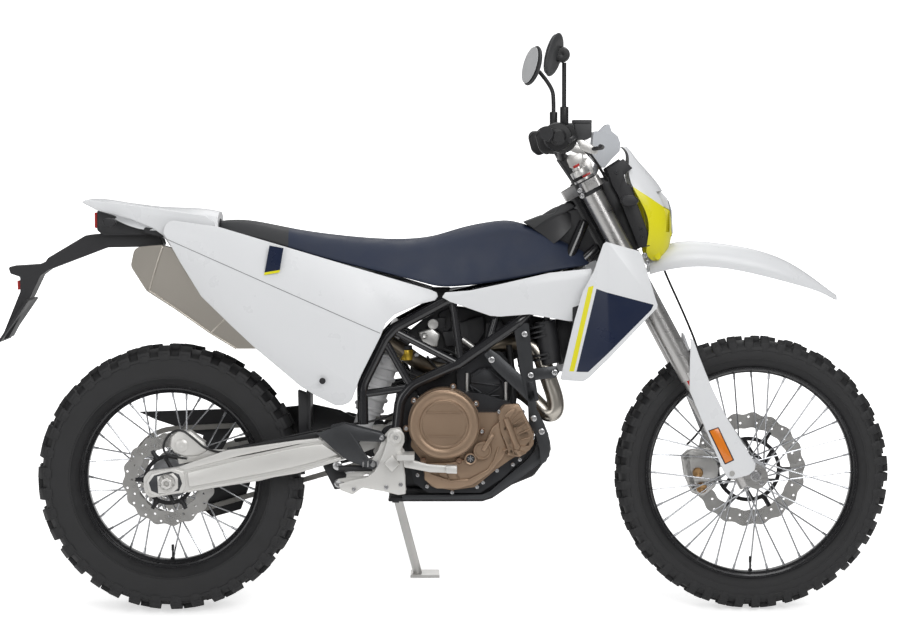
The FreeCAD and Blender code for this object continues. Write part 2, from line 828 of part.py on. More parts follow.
def windows(inner, outer, count, open_share):
    """Windows between two radii, with a rib between each two."""
    edges = []
    half = math.pi / count * open_share
    for index in range(count):
        middle = 2 * math.pi * index / count
        outside = [middle - half + half * 2 * step / 4 for step in range(5)]
        inside = [middle + half - half * 2 * step / 3 for step in range(4)]
        edges += polygon([Vector(math.cos(turn), math.sin(turn)) * outer for turn in outside]
                         + [Vector(math.cos(turn), math.sin(turn)) * inner for turn in inside])
    return edges


def disc(name, radius, lateral, lobes, shares, deep):
    """Brake disc or sprocket, bolted against the end of the hub, with a ring and a spider."""
    item = doc.addObject("PartDesign::Body", name)
    ring = radius * size("disc_ring") / 100
    carrier = radius * size("disc_carrier") / 100
    drawing = sketch(item, "XZ_Plane", lobed(radius, lobes, shares, deep)
                     + windows(carrier, ring, 6, 0.84)
                     + windows(size("front_flange", "rim_wall"), carrier - size("rim_wall") * 3,
                               6, 0.66) + circle(size("disc_bore")))
    feature = item.newObject("PartDesign::Pad", name + "Pad")
    feature.Profile = drawing
    bind(feature, "Length", "disc_thick")
    feature.Midplane = True
    item.Placement = Placement(Vector(0, lateral, 0), Rotation())
    return item


def place_wheel(thing, centre):
    return seat_at(thing, Placement(centre, Rotation()))


FRONT_SPOKES = 36
REAR_SPOKES = 36
half_disc = size("disc_thick") / 2
FRONT_HUB = (-size("front_hub_right"), size("front_disc_y") - half_disc)
REAR_HUB = (size("rear_disc_y") + half_disc, size("chain_y") - half_disc)
front_tyre = piece("front_tyre", place_wheel(
    tyre("FrontTyre", size("front_radius"), size("front_half"), size("front_crown"),
         size("front_rim_outer"), int(size("front_rows"))), FRONT_AXLE))
front_wheel = piece("front_wheel_laced", place_wheel(
    laced_wheel("FrontWheel", size("front_rim_inner"), size("front_rim_outer"),
                size("front_rim_half"), FRONT_HUB, size("front_flange_y"), size("front_flange"),
                size("front_axle_radius"), FRONT_SPOKES), FRONT_AXLE))
front_disc = piece("front_brake_disc", place_wheel(
    disc("FrontDisc", size("front_disc"), size("front_disc_y"), int(size("disc_lobes")),
         WAVE_SHARES, size("lobe_deep")), FRONT_AXLE))
rear_tyre = piece("rear_tyre", place_wheel(
    tyre("RearTyre", size("rear_radius"), size("rear_half"), size("rear_crown"),
         size("rear_rim_outer"), int(size("rear_rows"))), REAR_AXLE))
rear_wheel = piece("rear_wheel_laced", place_wheel(
    laced_wheel("RearWheel", size("rear_rim_inner"), size("rear_rim_outer"),
                size("rear_rim_half"), REAR_HUB, size("rear_flange_y"), size("rear_flange"),
                size("rear_axle_radius"), REAR_SPOKES), REAR_AXLE))
rear_disc = piece("rear_brake_disc", place_wheel(
    disc("RearDisc", size("rear_disc"), size("rear_disc_y"), int(size("disc_lobes")),
         WAVE_SHARES, size("lobe_deep")), REAR_AXLE))


# Chain drive

def chain_loop(grow):
    """Closed outline round both sprockets, grown outward from the pitch line."""
    gap = Vector(size("output_x"), size("output_z")) - Vector(0, size("rear_radius"))
    reach = gap.Length
    slope = math.atan2(gap.y, gap.x)
    rear = size("sprocket_radius")
    front = size("output_radius")
    tilt = math.acos((rear - front) / reach)
    hub = Vector(0, size("rear_radius"))
    nose = Vector(size("output_x"), size("output_z"))

    def spot(centre, radius, angle):
        return centre + Vector(math.cos(angle), math.sin(angle)) * (radius + grow)

    top, low = slope + tilt, slope - tilt
    return [
        Part.ArcOfCircle(spot(hub, rear, top), spot(hub, rear, slope + math.pi), spot(hub, rear, low)),
        Part.LineSegment(spot(hub, rear, low), spot(nose, front, low)),
        Part.ArcOfCircle(spot(nose, front, low), spot(nose, front, slope), spot(nose, front, top)),
        Part.LineSegment(spot(nose, front, top), spot(hub, rear, top))]


def chain_links(half_tall, waist, count):
    """The chain's outer edge, which narrows between each two pins."""
    gap = Vector(size("output_x"), size("output_z")) - Vector(0, size("rear_radius"))
    slope = math.atan2(gap.y, gap.x)
    rear = size("sprocket_radius")
    front = size("output_radius")
    tilt = math.acos((rear - front) / gap.Length)
    hub = Vector(0, size("rear_radius"))
    straight = gap.Length * math.sin(tilt)
    along = Vector(-math.sin(slope - tilt), math.cos(slope - tilt))
    back = Vector(-math.sin(slope + tilt), math.cos(slope + tilt))
    runs = (2 * rear * (math.pi - tilt), straight, 2 * front * tilt, straight)
    points = []
    for index in range(count):
        reach = sum(runs) * index / count
        grow = half_tall - (waist if index % 2 else 0)
        if reach < runs[0]:
            turn = slope + tilt + reach / rear
            centre, radius, offset = hub, rear, Vector(0, 0)
        elif reach < runs[0] + runs[1]:
            turn = slope - tilt
            centre, radius, offset = hub, rear, along * (reach - runs[0])
        elif reach < runs[0] + runs[1] + runs[2]:
            turn = slope - tilt + (reach - runs[0] - runs[1]) / front
            centre, radius, offset = hub + gap, front, Vector(0, 0)
        else:
            turn = slope + tilt
            centre, radius = hub + gap, front
            offset = back * (reach - runs[0] - runs[1] - runs[2])
        points.append(centre + offset + Vector(math.cos(turn), math.sin(turn)) * (radius + grow))
    return polygon(points)


half_tall = size("chain_half_tall")
chain = doc.addObject("PartDesign::Body", "Chain")
chain_sketch = sketch(chain, "XZ_Plane", chain_links(half_tall, size("link_waist"),
                                                     int(size("link_waists")))
                      + chain_loop(-half_tall))
chain_pad = chain.newObject("PartDesign::Pad", "ChainPad")
chain_pad.Profile = chain_sketch
bind(chain_pad, "Length", "chain_wide")
chain_pad.Midplane = True
chain.Placement = Placement(Vector(0, size("chain_y"), 0), Rotation())
piece("drive_chain", chain)

sprocket = disc("Sprocket", size("sprocket_radius", "-chain_half_tall", "-chain_clearance"),
                size("chain_y"), int(size("rear_teeth")), TOOTH_SHARES, size("tooth_deep"))
piece("rear_sprocket", place_wheel(sprocket, REAR_AXLE))


# Axles

def axle(name, radius, bore, half, centre):
    outer = across(name, radius, centre.x, centre.z, half, -half)
    past = half + size("overrun")
    inner = across(name + "Bore", bore, centre.x, centre.z, past, -past)
    return outer, inner


front_bar, front_bore = axle("FrontAxle", "front_axle_radius", "front_axle_bore",
                             size("front_axle_half"), FRONT_AXLE)
front_axle = piece("front_axle", minus("FrontAxleTube", front_bar, front_bore))
nut_face = size("arm_outer")
nut_end = size("arm_outer", "axle_nut_long")
rear_bar, rear_bore = axle("RearAxle", "rear_axle_radius", "rear_axle_bore", nut_end, REAR_AXLE)
nut = across("AxleNut", "axle_nut", REAR_AXLE.x, REAR_AXLE.z, -nut_face, -nut_end)
head = across("AxleHead", "axle_nut", REAR_AXLE.x, REAR_AXLE.z, nut_end, nut_face)
rear_axle = piece("rear_axle", minus("RearAxleTube", fused("RearAxleSolid", rear_bar, nut, head),
                                     rear_bore))


# Frame: a trellis of tubes from the steering head to the swingarm pivot

UPPER_RAIL_SHARES = ((0.94, 0.24, 0.92), (0.845, 0.55, 0.705), (0.358, 0.915, 0.6),
                     (0.139, 0.983, 0.484), (0.096, 1, 0.438), (0, 1, 0.243), (0.003, 1, 0.082))
LOWER_RAIL_SHARES = ((0.993, 0.24, 0.811), (0.664, 0.949, 0.513), (0.404, 0.983, 0.333),
                     (0.21, 0.983, 0.246), (0.159, 1, 0.187), (0.139, 1, 0))
BRACE_SHARES = (
    ((0.382, 0.932, 0.59), (0.416, 0.966, 0.345)),
    ((0.139, 0.975, 0.47), (0.404, 0.983, 0.335)),
    ((0.096, 0.992, 0.43), (0.202, 0.983, 0.245)),
    ((0.003, 1, 0.208), (0.182, 0.983, 0.233)),
    ((0.76, 0.64, 0.69), (0.664, 0.949, 0.513)),
    ((0.6, 0.75, 0.65), (0.53, 0.95, 0.42)))
STAY_SHARES = ((0, 0), (0.423, 0), (0.423, 0.317), (1, 0.433), (1, 1), (0.615, 1), (0.615, 0.452),
               (0, 0.337))
frame_start = (size("frame_back"), size("frame_foot"))
frame_span = (size("frame_long"), size("frame_half"), size("frame_tall"))
frame_tubes = []
for side, mark in ((-1, "Right"), (1, "Left")):
    for label, shares in (("Upper", UPPER_RAIL_SHARES), ("Lower", LOWER_RAIL_SHARES)):
        points = spatial(shares, frame_start, frame_span, side)
        frame_tubes.append(tube(f"{label}Rail{mark}", points, size("rail_radius"), size("rail_bend")))
    for index, shares in enumerate(BRACE_SHARES):
        first, last = spatial(shares, frame_start, frame_span, side)
        frame_tubes.append(rod(f"Brace{mark}{index}", "brace_radius", first, last))
    plate_first = side * size("pivot_plate_y")
    plate_last = side * size("pivot_plate_y", "pivot_plate_thick")
    frame_tubes.append(across(f"PivotPlate{mark}", "pivot_plate_radius", PIVOT.x, PIVOT.z,
                              plate_first, plate_last))
for index, share in enumerate((UPPER_RAIL_SHARES[3], LOWER_RAIL_SHARES[3])):
    right, left = (spatial([share], frame_start, frame_span, side)[0] for side in (-1, 1))
    frame_tubes.append(rod(f"CrossTube{index}", "rail_radius", right, left))
head_low = on_head(size("lower_clamp_up", "head_gap") + size("clamp_thick") / 2)
head_high = on_head(TOP_CLAMP_UP - size("clamp_thick") / 2 - size("head_gap"))
frame_tubes.append(rod("HeadTube", "head_radius", head_low, head_high))
head_bore = doc.addObject("Part::Cylinder", "HeadBore")
head_bore.Radius = size("stem_radius", "running_gap")
head_bore.Height = (head_high - head_low).Length + 2 * size("overrun")
head_bore.Placement = Placement(head_low - UP_FORK * size("overrun"), toward(UP_FORK))
pin_half = size("pivot_plate_y", "pivot_plate_thick", "pivot_pin_over")
pivot_hole = across("PivotHole", "pivot_pin_radius", PIVOT.x, PIVOT.z, pin_half, -pin_half)
cant = math.radians(size("stand_cant"))
STAND_PIVOT = Vector(size("stand_x"), size("stand_y"), size("stand_z"))
STAND_AXIS = Vector(0, math.cos(cant), math.sin(cant))
boss_face = STAND_PIVOT - STAND_AXIS * size("stand_eye_half", "stand_gap")
boss_back = boss_face - STAND_AXIS * size("stand_boss_long")
frame_tubes.append(rod("StandBoss", "stand_boss", boss_back, boss_face))
stay_span = (size("stay_wide"), size("stay_tall"))
stay_edges = rounded(flat(STAY_SHARES, (size("stay_inner"), size("stay_foot")), stay_span),
                     size("stay_round"))
frame_tubes.append(pad("StandStay", stay_edges, ("stay_long",), ("stay_back",), "YZ_Plane"))
frame_raw = fused("FrameTubes", *frame_tubes)


# Engine

CRANKCASE_SHARES = ((0.006, 0.791), (0.126, 0.962), (0.365, 1), (0.605, 0.962), (0.814, 0.886),
                    (0.919, 0.715), (1, 0.487), (0.919, 0.335), (0.754, 0.144), (0.575, 0),
                    (0.156, 0), (0.036, 0.106), (0, 0.411))
CYLINDER_SHARES = ((0, 0), (-0.04, 0.6), (0.12, 1), (0.72, 1), (1, 0.68), (1, 0))
RIGHT_COVER_SHARES = ((0, 0.479), (0.095, 0.319), (0.12, 0.109), (0.177, 0.034), (0.335, 0),
                      (0.522, 0.034), (0.684, 0.214), (0.829, 0.349), (0.921, 0.382),
                      (0.994, 0.487), (1, 0.618), (0.937, 0.702), (0.905, 0.84), (0.864, 0.924),
                      (0.744, 0.916), (0.706, 0.832), (0.544, 0.832), (0.259, 1), (0.07, 0.832))
PUMP_SHARES = ((0.745, 0.915), (0.864, 0.92), (0.9, 0.84), (0.937, 0.702), (0.99, 0.61),
               (0.985, 0.49), (0.92, 0.39), (0.8, 0.37), (0.77, 0.5), (0.728, 0.64), (0.71, 0.8))
crank_long = size("engine_right", "engine_left")
crank_pad = pad("Crankcase", rounded(flat(CRANKCASE_SHARES, *box_of("engine")),
                                     size("engine_round")), crank_long, -size("engine_left"))
chain_room = across("ChainRoom", "generator_radius", size("output_x"), size("output_z"),
                    size("chain_y", "-chain_wide"), size("chain_y", "chain_wide"))
crankcase = piece("crankcase", crank_pad)
cylinder_foot = size("engine_foot", "engine_tall")
cylinder_pad = pad("Cylinder", rounded(flat(
    CYLINDER_SHARES, (size("cylinder_back"), cylinder_foot - size("engine_tall") * 0.2),
    (size("cylinder_long"), size("cylinder_tall"))), size("engine_round")),
    size("cylinder_half", "cylinder_half"), -size("cylinder_half"))
cylinder = piece("cylinder_and_head", minus("CylinderSeated", cylinder_pad, crank_pad))
cover_box = box_of("cover")
cover_pad = pad("RightCover", rounded(flat(RIGHT_COVER_SHARES, *cover_box), size("engine_round")),
                ("cover_thick",), ("engine_right",))
pump_pad = pad("PumpCover", rounded(flat(PUMP_SHARES, *cover_box), size("engine_round")),
               ("pump_thick",), ("engine_right",))
cover_fused = fused("CoverFused", cover_pad, pump_pad)
clutch_face = -size("engine_right", "clutch_face")
clutch_base = -size("engine_right", "clutch_base")
clutch_low = across("ClutchBase", "clutch_radius", size("clutch_x"), size("clutch_z"),
                    -size("engine_right"), clutch_base)
clutch_high = across("ClutchFace", "clutch_inner", size("clutch_x"), size("clutch_z"),
                     -size("engine_right"), clutch_face)
clutch_ring = across("ClutchRing", "clutch_ring", size("clutch_x"), size("clutch_z"),
                     -size("engine_right"), -size("engine_right", "clutch_step"))
clutch_bars = [block(f"ClutchBar{side}", Vector(
    size("clutch_x", "-clutch_bar_half"), clutch_face - size("clutch_bar_deep"),
    size("clutch_z") + side * size("clutch_bar_rise") - size("clutch_bar_deep") / 2),
    (("clutch_bar_half", "clutch_bar_half"), ("clutch_bar_deep", "clutch_bar_deep"),
     ("clutch_bar_deep",))) for side in (-1, 1)]
clutch = piece("clutch_cover", fused("ClutchCover", clutch_low, clutch_ring, clutch_high,
                                     *clutch_bars))
right_cover = piece("right_engine_cover", minus("RightCoverSeated", cover_fused, clutch_low))
generator = across("Generator", "generator_radius", size("generator_x"), size("generator_z"),
                   size("engine_left"), size("engine_left", "generator_thick"))
output_disc = across("OutputSprocket", "output_radius", size("output_x"), size("output_z"),
                     size("engine_left"), size("chain_y") + size("sprocket_thick"))
chain_inner = pad("ChainInner", chain_loop(-half_tall),
                  size("chain_wide", "chain_wide"), -size("chain_y", "chain_wide"))
output = both("OutputInside", output_disc, chain_inner)
chain_space = pad("ChainOuter", chain_loop(half_tall + size("chain_clearance")),
                  size("chain_wide", "chain_wide", "overrun"),
                  -size("chain_y", "chain_wide", "overrun"))
left_cover = piece("left_engine_cover", group(
    "LeftEngine", minus("LeftCoverSeated", generator, chain_space), output))


# Swingarm

SWINGARM_SHARES = ((0, 0.17), (0, 0.31), (0.019, 0.4), (0.14, 0.465), (0.409, 0.65),
                   (0.648, 0.85), (0.766, 0.93), (0.958, 1), (1, 0.9), (0.958, 0.73),
                   (0.899, 0.75), (0.785, 0.59), (0.648, 0.45), (0.534, 0.345), (0.443, 0.256),
                   (0.17, 0.09), (0.027, 0), (0.006, 0.06))
arm_side = pad("ArmSide", rounded(flat(SWINGARM_SHARES, *box_of("arm")), size("engine_round")),
               size("arm_outer", "arm_outer"), -size("arm_outer"))
arm_thick = size("arm_thick")
front_outer = size("arm_inner_front", "arm_thick")


def arm_plan(side):
    """Plan of one arm: straight beside the wheel, then turned in to the pivot."""
    end = size("arm_back", "arm_long") + size("overrun")
    start = size("arm_back") - size("overrun")
    outer = size("arm_outer")
    inner_front = size("arm_inner_front")
    points = [Vector(start, outer), Vector(size("arm_bend_back"), outer),
              Vector(size("arm_bend_front"), front_outer), Vector(end, front_outer),
              Vector(end, inner_front), Vector(size("arm_bend_front"), inner_front),
              Vector(size("arm_bend_back"), outer - arm_thick), Vector(start, outer - arm_thick)]
    return rounded([Vector(point.x, side * point.y) for point in points], size("rail_bend"))


arm_plans = fused("ArmPlans", *[
    pad(f"ArmPlan{mark}", arm_plan(side), size("arm_foot", "arm_tall"), (), "XY_Plane")
    for side, mark in ((1, "Left"), (-1, "Right"))])
arms = both("Arms", arm_side, arm_plans)
cross = block("ArmCross", Vector(size("cross_back"), -size("arm_outer", "-arm_thick"),
                                 size("cross_low")),
              (("cross_long",), ("arm_outer", "-arm_thick", "arm_outer", "-arm_thick"),
               ("cross_tall",)))
boss_half = size("arm_inner_front", "arm_thick")
boss = across("PivotBoss", "pivot_boss", PIVOT.x, PIVOT.z, boss_half, -boss_half)
pin = across("PivotPin", "pivot_pin_radius", PIVOT.x, PIVOT.z, pin_half, -pin_half)
swingarm_solid = fused("SwingarmSolid", arms, cross, boss, pin)
swingarm = piece("swingarm", minus("Swingarm", swingarm_solid, rear_bar))
frame = piece("frame", minus("Frame", frame_raw, head_bore, pivot_hole))


# Chain guard and guide on the left arm

GUARD_SHARES = ((0, 0.92), (0.79, 0.97), (1, 1), (0.79, 0.29), (0.72, 0.1), (0.55, 0), (0.6, 0.5),
                (0.16, 0.78))
GUIDE_SHARES = ((0.06, 1), (0.06, 0.17), (0.26, 0), (0.82, 0.16), (1, 0.68), (1, 1))
guard = pad("Guard", polygon(flat(GUARD_SHARES, *box_of("chainguard"))), ("chainguard_thick",),
            ("-arm_outer", "arm_thick"))
guide = pad("Guide", polygon(flat(GUIDE_SHARES, *box_of("guide"))), ("chainguard_thick",),
            ("-arm_outer", "arm_thick"))
piece("swingarm_guards", group("Guards", guard, guide))


# Shock absorber

shock_top = Vector(size("shock_top_x"), 0, size("shock_top_z"))
shock_low = Vector(size("shock_low_x"), 0, size("shock_low_z"))
shock_line = shock_top - shock_low
spring_low = shock_low + shock_line * 0.16
spring_high = shock_low + shock_line * 0.8
shock_parts = [rod("ShockShaft", "damper_radius", shock_low, shock_top)]
for index in range(int(size("spring_turns"))):
    ring = doc.addObject("Part::Torus", f"SpringTurn{index}")
    ring.Radius1 = size("spring_radius", "-spring_wire")
    bind(ring, "Radius2", "spring_wire")
    share = (index + 0.5) / size("spring_turns")
    ring.Placement = Placement(spring_low + (spring_high - spring_low) * share, toward(shock_line))
    shock_parts.append(ring)
shock_sleeve = doc.addObject("Part::Cylinder", "SpringSleeve")
shock_sleeve.Radius = size("spring_radius", "-spring_wire")
shock_sleeve.Height = (spring_high - spring_low).Length
shock_sleeve.Placement = Placement(spring_low, toward(shock_line))
shock_parts.append(shock_sleeve)
shock_raw = fused("Shock", *shock_parts)
shock = piece("shock_absorber", minus("ShockSeated", shock_raw, swingarm, frame))


# Exhaust

HEADER_SHARES = ((0.881, 0, 0.885), (0.961, 0.125, 1), (1, 0.304, 0.5), (0.949, 0.554, 0),
                 (0.845, 0.72, 0.038), (0.685, 0.72, 0.404), (0.506, 0.72, 0.885),
                 (0.387, 0.75, 1.231), (0.193, 0.9, 1.462), (-0.04, 0.9, 1.535))
header_points = spatial(HEADER_SHARES, (size("header_back"), size("header_foot")),
                        (size("header_long"), size("header_side"), size("header_tall")), -1)
header_raw = tube("Header", header_points, size("header_radius"), size("header_bend"))
header = piece("exhaust_header", minus("HeaderSeated", header_raw, cylinder, frame))
SILENCER_SHARES = ((0, 0.804), (0.026, 0.978), (0.194, 1), (0.386, 0.92), (0.821, 0.32),
                   (1, 0.18), (0.98, 0.04), (0.68, 0.04), (0.532, 0.178), (0.102, 0.575))
silencer_raw = pad("Silencer", rounded(flat(SILENCER_SHARES, *box_of("silencer")),
                                       size("silencer_round")),
                   ("silencer_wide",), ("silencer_inner",))
silencer = piece("silencer", minus("SilencerSeated", silencer_raw, header_raw))


# Fuel tank under the seat, tail and plate holder

TANK_SHARES = ((0.54, 0.14), (0.66, 0.1), (0.7, 0.268), (0.78, 0.45), (0.99, 0.545), (0.46, 0.82),
               (0.16, 0.93), (0, 0.98), (0, 0.945), (0.16, 0.865), (0.4, 0.52), (0.5, 0.33))
tank_raw = pad("Tank", rounded(flat(TANK_SHARES, *box_of("tank")), size("tank_round")),
               size("tank_half", "tank_half"), -size("tank_half"))


def saddle_section(half_low, half_high, low, high, crown):
    """Cross section of a seat: flat below, sides leaning in, and a crowned top."""
    shoulder = high - crown
    return loop(
        [Vector(-half_low, low), Vector(half_low, low)],
        [Vector(half_low, low), Vector(half_high, shoulder)],
        [Vector(half_high, shoulder), Vector(half_high * 0.6, high - crown * 0.25),
         Vector(0, high), Vector(-half_high * 0.6, high - crown * 0.25),
         Vector(-half_high, shoulder)],
        [Vector(-half_high, shoulder), Vector(-half_low, low)])


SEAT_SHARES = ((0, 0.833, 0.96, 0.46, 0.36), (0.1, 0.72, 0.975, 0.65, 0.54),
               (0.21, 0.555, 0.84, 0.81, 0.68), (0.335, 0.36, 0.735, 0.94, 0.8),
               (0.46, 0.21, 0.685, 1, 0.86), (0.593, 0.01, 0.75, 0.985, 0.74),
               (0.706, 0.06, 0.917, 0.86, 0.58), (0.79, 0.13, 0.97, 0.8, 0.51),
               (0.912, 0.26, 0.71, 0.74, 0.47), (1, 0.32, 0.48, 0.52, 0.36))
seat_stations = []
for along, low, high, half_low, half_high in SEAT_SHARES:
    low_z = size("seat_foot") + low * size("seat_tall")
    high_z = size("seat_foot") + high * size("seat_tall")
    edges = saddle_section(half_low * size("seat_half"), half_high * size("seat_half"),
                           low_z, high_z, (high_z - low_z) * 0.35)
    seat_stations.append((size("seat_back") + along * size("seat_long"), edges))
seat_raw = lofted("Seat", "YZ_Plane", seat_stations)
tank = piece("rear_fuel_tank", minus("TankSeated", tank_raw, seat_raw, frame, shock, header_raw,
                                     silencer_raw))
seat = piece("seat", minus("SeatSeated", seat_raw, frame))

TAIL_SHARES = ((0, 0.92, 0.96, 0.18, 0.14), (0.1, 0.72, 1, 0.5, 0.42), (0.36, 0.2, 0.86, 0.86, 0.76),
               (0.6, 0.1, 0.76, 0.98, 0.88), (1, 0.05, 0.62, 1, 0.9))
tail_stations = []
for along, low, high, half_low, half_high in TAIL_SHARES:
    low_z = size("tail_foot") + low * size("tail_tall")
    high_z = size("tail_foot") + high * size("tail_tall")
    edges = saddle_section(half_low * size("tail_half"), half_high * size("tail_half"),
                           low_z, high_z, (high_z - low_z) * 0.3)
    tail_stations.append((size("tail_back") + along * size("tail_long"), edges))
tail_raw = lofted("Tail", "YZ_Plane", tail_stations)
tail = piece("tail_section", minus("TailSeated", tail_raw, seat_raw, tank_raw))

PLATE_SHARES = ((0.631, 1), (0.969, 1), (1, 0.879), (0.65, 0.868), (0.293, 0.659), (0.245, 0.604),
                (0.183, 0.407), (0.048, 0.018), (0, 0), (0.121, 0.454), (0.121, 0.593),
                (0.062, 0.623), (0.048, 0.689), (0.233, 0.707), (0.276, 0.736), (0.293, 0.773),
                (0.521, 0.982))
holder_raw = pad("Holder", rounded(flat(PLATE_SHARES, *box_of("plate")), size("skid_round")),
                 size("plate_half", "plate_half"), -size("plate_half"))
board_low = Vector(size("plate_back"), 0, size("plate_foot"))
board_lean = math.atan2(0.183 * size("plate_long"), 0.407 * size("plate_tall"))
board = doc.addObject("Part::Box", "Board")
bind(board, "Length", "plate_board_thick")
bind(board, "Width", "plate_board_half", "plate_board_half")
bind(board, "Height", "plate_board_tall")
board_turn = Rotation(Vector(0, 1, 0), math.degrees(board_lean))
board.Placement = Placement(board_low - Vector(0, size("plate_board_half"), 0), board_turn)
BOARD = Placement(board_low, board_turn)
plate_holes = []
for side in (-1, 1):
    hole_y = side * size("plate_hole_spread") / 2
    hole_z = size("plate_board_tall") / 2
    first = BOARD.multVec(Vector(-size("overrun"), hole_y, hole_z))
    last = BOARD.multVec(Vector(size("plate_board_thick", "overrun"), hole_y, hole_z))
    plate_holes.append(rod(f"PlateHole{side}", "plate_hole", first, last))
holder_fused = fused("HolderFused", holder_raw, board)
holder = piece("plate_holder", minus("HolderSeated", holder_fused, tank_raw, tail_raw,
                                     *plate_holes))

lamp_x = size("tail_back") + size("tail_long") * 0.09
tail_lamp = block("TailLamp", Vector(lamp_x, -size("lamp_half"), size("tail_foot")),
                  (("lamp_thick",), ("lamp_half", "lamp_half"), ("lamp_tall",)))
rear_blinkers = []
for side in (-1, 1):
    stalk = across(f"RearStalk{side}", "blinker_stalk", lamp_x + size("lamp_thick") / 2,
                   size("tail_foot") + size("lamp_tall") * 0.4, side * size("lamp_half"),
                   side * size("rear_blinker_y"))
    pod = block(f"RearPod{side}",
                Vector(lamp_x - size("blinker_deep") / 2,
                       side * size("rear_blinker_y") - size("blinker_long") / 2,
                       size("tail_foot") + size("lamp_tall") * 0.4 - size("blinker_tall") / 2),
                (("blinker_deep",), ("blinker_long",), ("blinker_tall",)))
    rear_blinkers += [stalk, pod]
rear_lamps_raw = fused("RearLamps", tail_lamp, *rear_blinkers)
rear_lamps = piece("rear_lamps", minus("RearLampsSeated", rear_lamps_raw, tail_raw, holder))


# Panels: each is a sheet that follows a plan, cut to its side outline

def curved_panel(name, shares, box, plan, height, studs=()):
    """A right-hand panel on studs; plan lists its outer face from rear to front, seen from above."""
    (back, foot), (long, tall) = box
    outline = rounded(flat(shares, (back, foot), (long, tall)), size("panel_round"))
    side_pad = pad(name + "Side", outline, size("shroud_out", "overrun", "overrun"))
    thick = size("panel_thick")
    outer = [Vector(x, -y) for x, y in plan]
    inner = [Vector(x, -y + thick) for x, y in reversed(plan)]
    sheet_edges = loop(outer, [outer[-1], inner[0]], inner, [inner[-1], outer[0]])
    plan_pad = pad(name + "Plan", sheet_edges, height, (), "XY_Plane")
    panel = both(name, side_pad, plan_pad)
    if not studs:
        return panel
    far = -size("shroud_out", "overrun", "overrun")
    outside = pad(name + "Beyond", loop(outer, [outer[-1], Vector(outer[-1].x, far)],
                                        [Vector(outer[-1].x, far), Vector(outer[0].x, far)],
                                        [Vector(outer[0].x, far), outer[0]]),
                  height, (), "XY_Plane")
    bars = [across(f"{name}Stud{index}", "panel_mount", x, z, -inner_y, far)
            for index, (x, z, inner_y) in enumerate(studs)]
    return fused(name + "OnStuds", panel, *[minus(f"{name}Cut{index}", bar, outside)
                                            for index, bar in enumerate(bars)])


SIDE_SHARES = ((0, 0.932), (0.037, 1), (0.202, 0.966), (1, 0.612), (1, 0.591), (0.989, 0.57),
               (0.934, 0.549), (0.844, 0.494), (0.808, 0.445), (0.79, 0.375), (0.717, 0.161),
               (0.681, 0.028), (0.662, 0.011), (0.627, 0), (0.554, 0.053), (0.499, 0.102),
               (0.336, 0.305), (0.245, 0.43), (0.136, 0.591), (0.064, 0.769), (0.02, 0.886))
side_box = box_of("side")
side_plan = ((size("side_back", "-overrun"), size("side_out_back")),
             (size("side_back") + size("side_long") * 0.35, size("side_out") * 0.93),
             (size("side_back") + size("side_long") * 0.7, size("side_out")),
             (size("side_back", "side_long", "overrun"), size("side_out_front")))
full_height = size("side_foot", "side_tall", "side_tall")
side_studs = ((size("side_back") + size("side_long") * 0.585,
               size("side_foot") + size("side_tall") * 0.47, size("tank_half")),)
side_right_raw = curved_panel("SidePanel", SIDE_SHARES, side_box, side_plan, full_height,
                              side_studs)
side_right = piece("side_panel_right", minus("SideRight", side_right_raw, frame, tail_raw))
side_left = piece("side_panel_left", minus("SideLeft", flipped("SideLeftRaw", side_right_raw),
                                           frame, tail_raw))
TANK_PANEL_SHARES = ((0, 0.461), (0.02, 0.546), (0.179, 0.582), (0.371, 0.695), (0.689, 0.901),
                     (0.965, 0.99), (0.92, 0.355), (0.86, 0), (0.563, 0.149), (0.371, 0.106),
                     (0.308, 0.121), (0.051, 0.376))
panel_plan = ((size("tank_panel_back", "-overrun"), size("side_out_front")),
              (size("tank_panel_back") + size("tank_panel_long") * 0.5, size("tank_panel_out")),
              (size("tank_panel_back", "tank_panel_long", "overrun"), size("shroud_out_back")))
brace_high, brace_low = spatial(BRACE_SHARES[4], frame_start, frame_span, -1)
stud_spot = brace_low + (brace_high - brace_low) * 0.3
panel_studs = ((stud_spot.x, stud_spot.z, -stud_spot.y),)
tank_panel = minus("TankPanelSeated", curved_panel(
    "TankPanel", TANK_PANEL_SHARES, box_of("tank_panel"), panel_plan, full_height, panel_studs),
    frame)
tank_panels = piece("tank_panels", group("TankPanels", tank_panel,
                                         flipped("TankPanelLeft", tank_panel)))
SHROUD_SHARES = ((0.459, 1), (0.805, 0.93), (0.837, 0.902), (1, 0.556), (0.992, 0.528),
                 (0.297, 0.028), (0.224, 0), (0.008, 0.006), (0, 0.028), (0.142, 0.435),
                 (0.224, 0.635), (0.337, 0.789), (0.419, 0.98))
shroud_plan = ((size("shroud_back", "-overrun"), size("shroud_out_back", "panel_thick", "seam")),
               (size("shroud_back") + size("shroud_long") * 0.5, size("shroud_out")),
               (size("shroud_back", "shroud_long", "overrun"), size("shroud_out_front")))
radiator_outer = size("radiator_inner", "radiator_wide")
shroud_studs = tuple((size("radiator_x") + size("radiator_thick") / 2,
                      size("radiator_z") + size("radiator_tall") * share, radiator_outer)
                     for share in (0.12, 0.42))
shroud = curved_panel("Shroud", SHROUD_SHARES, box_of("shroud"), shroud_plan, full_height,
                      shroud_studs)
piece("radiator_shroud_right", shroud)
piece("radiator_shroud_left", flipped("ShroudLeft", shroud))

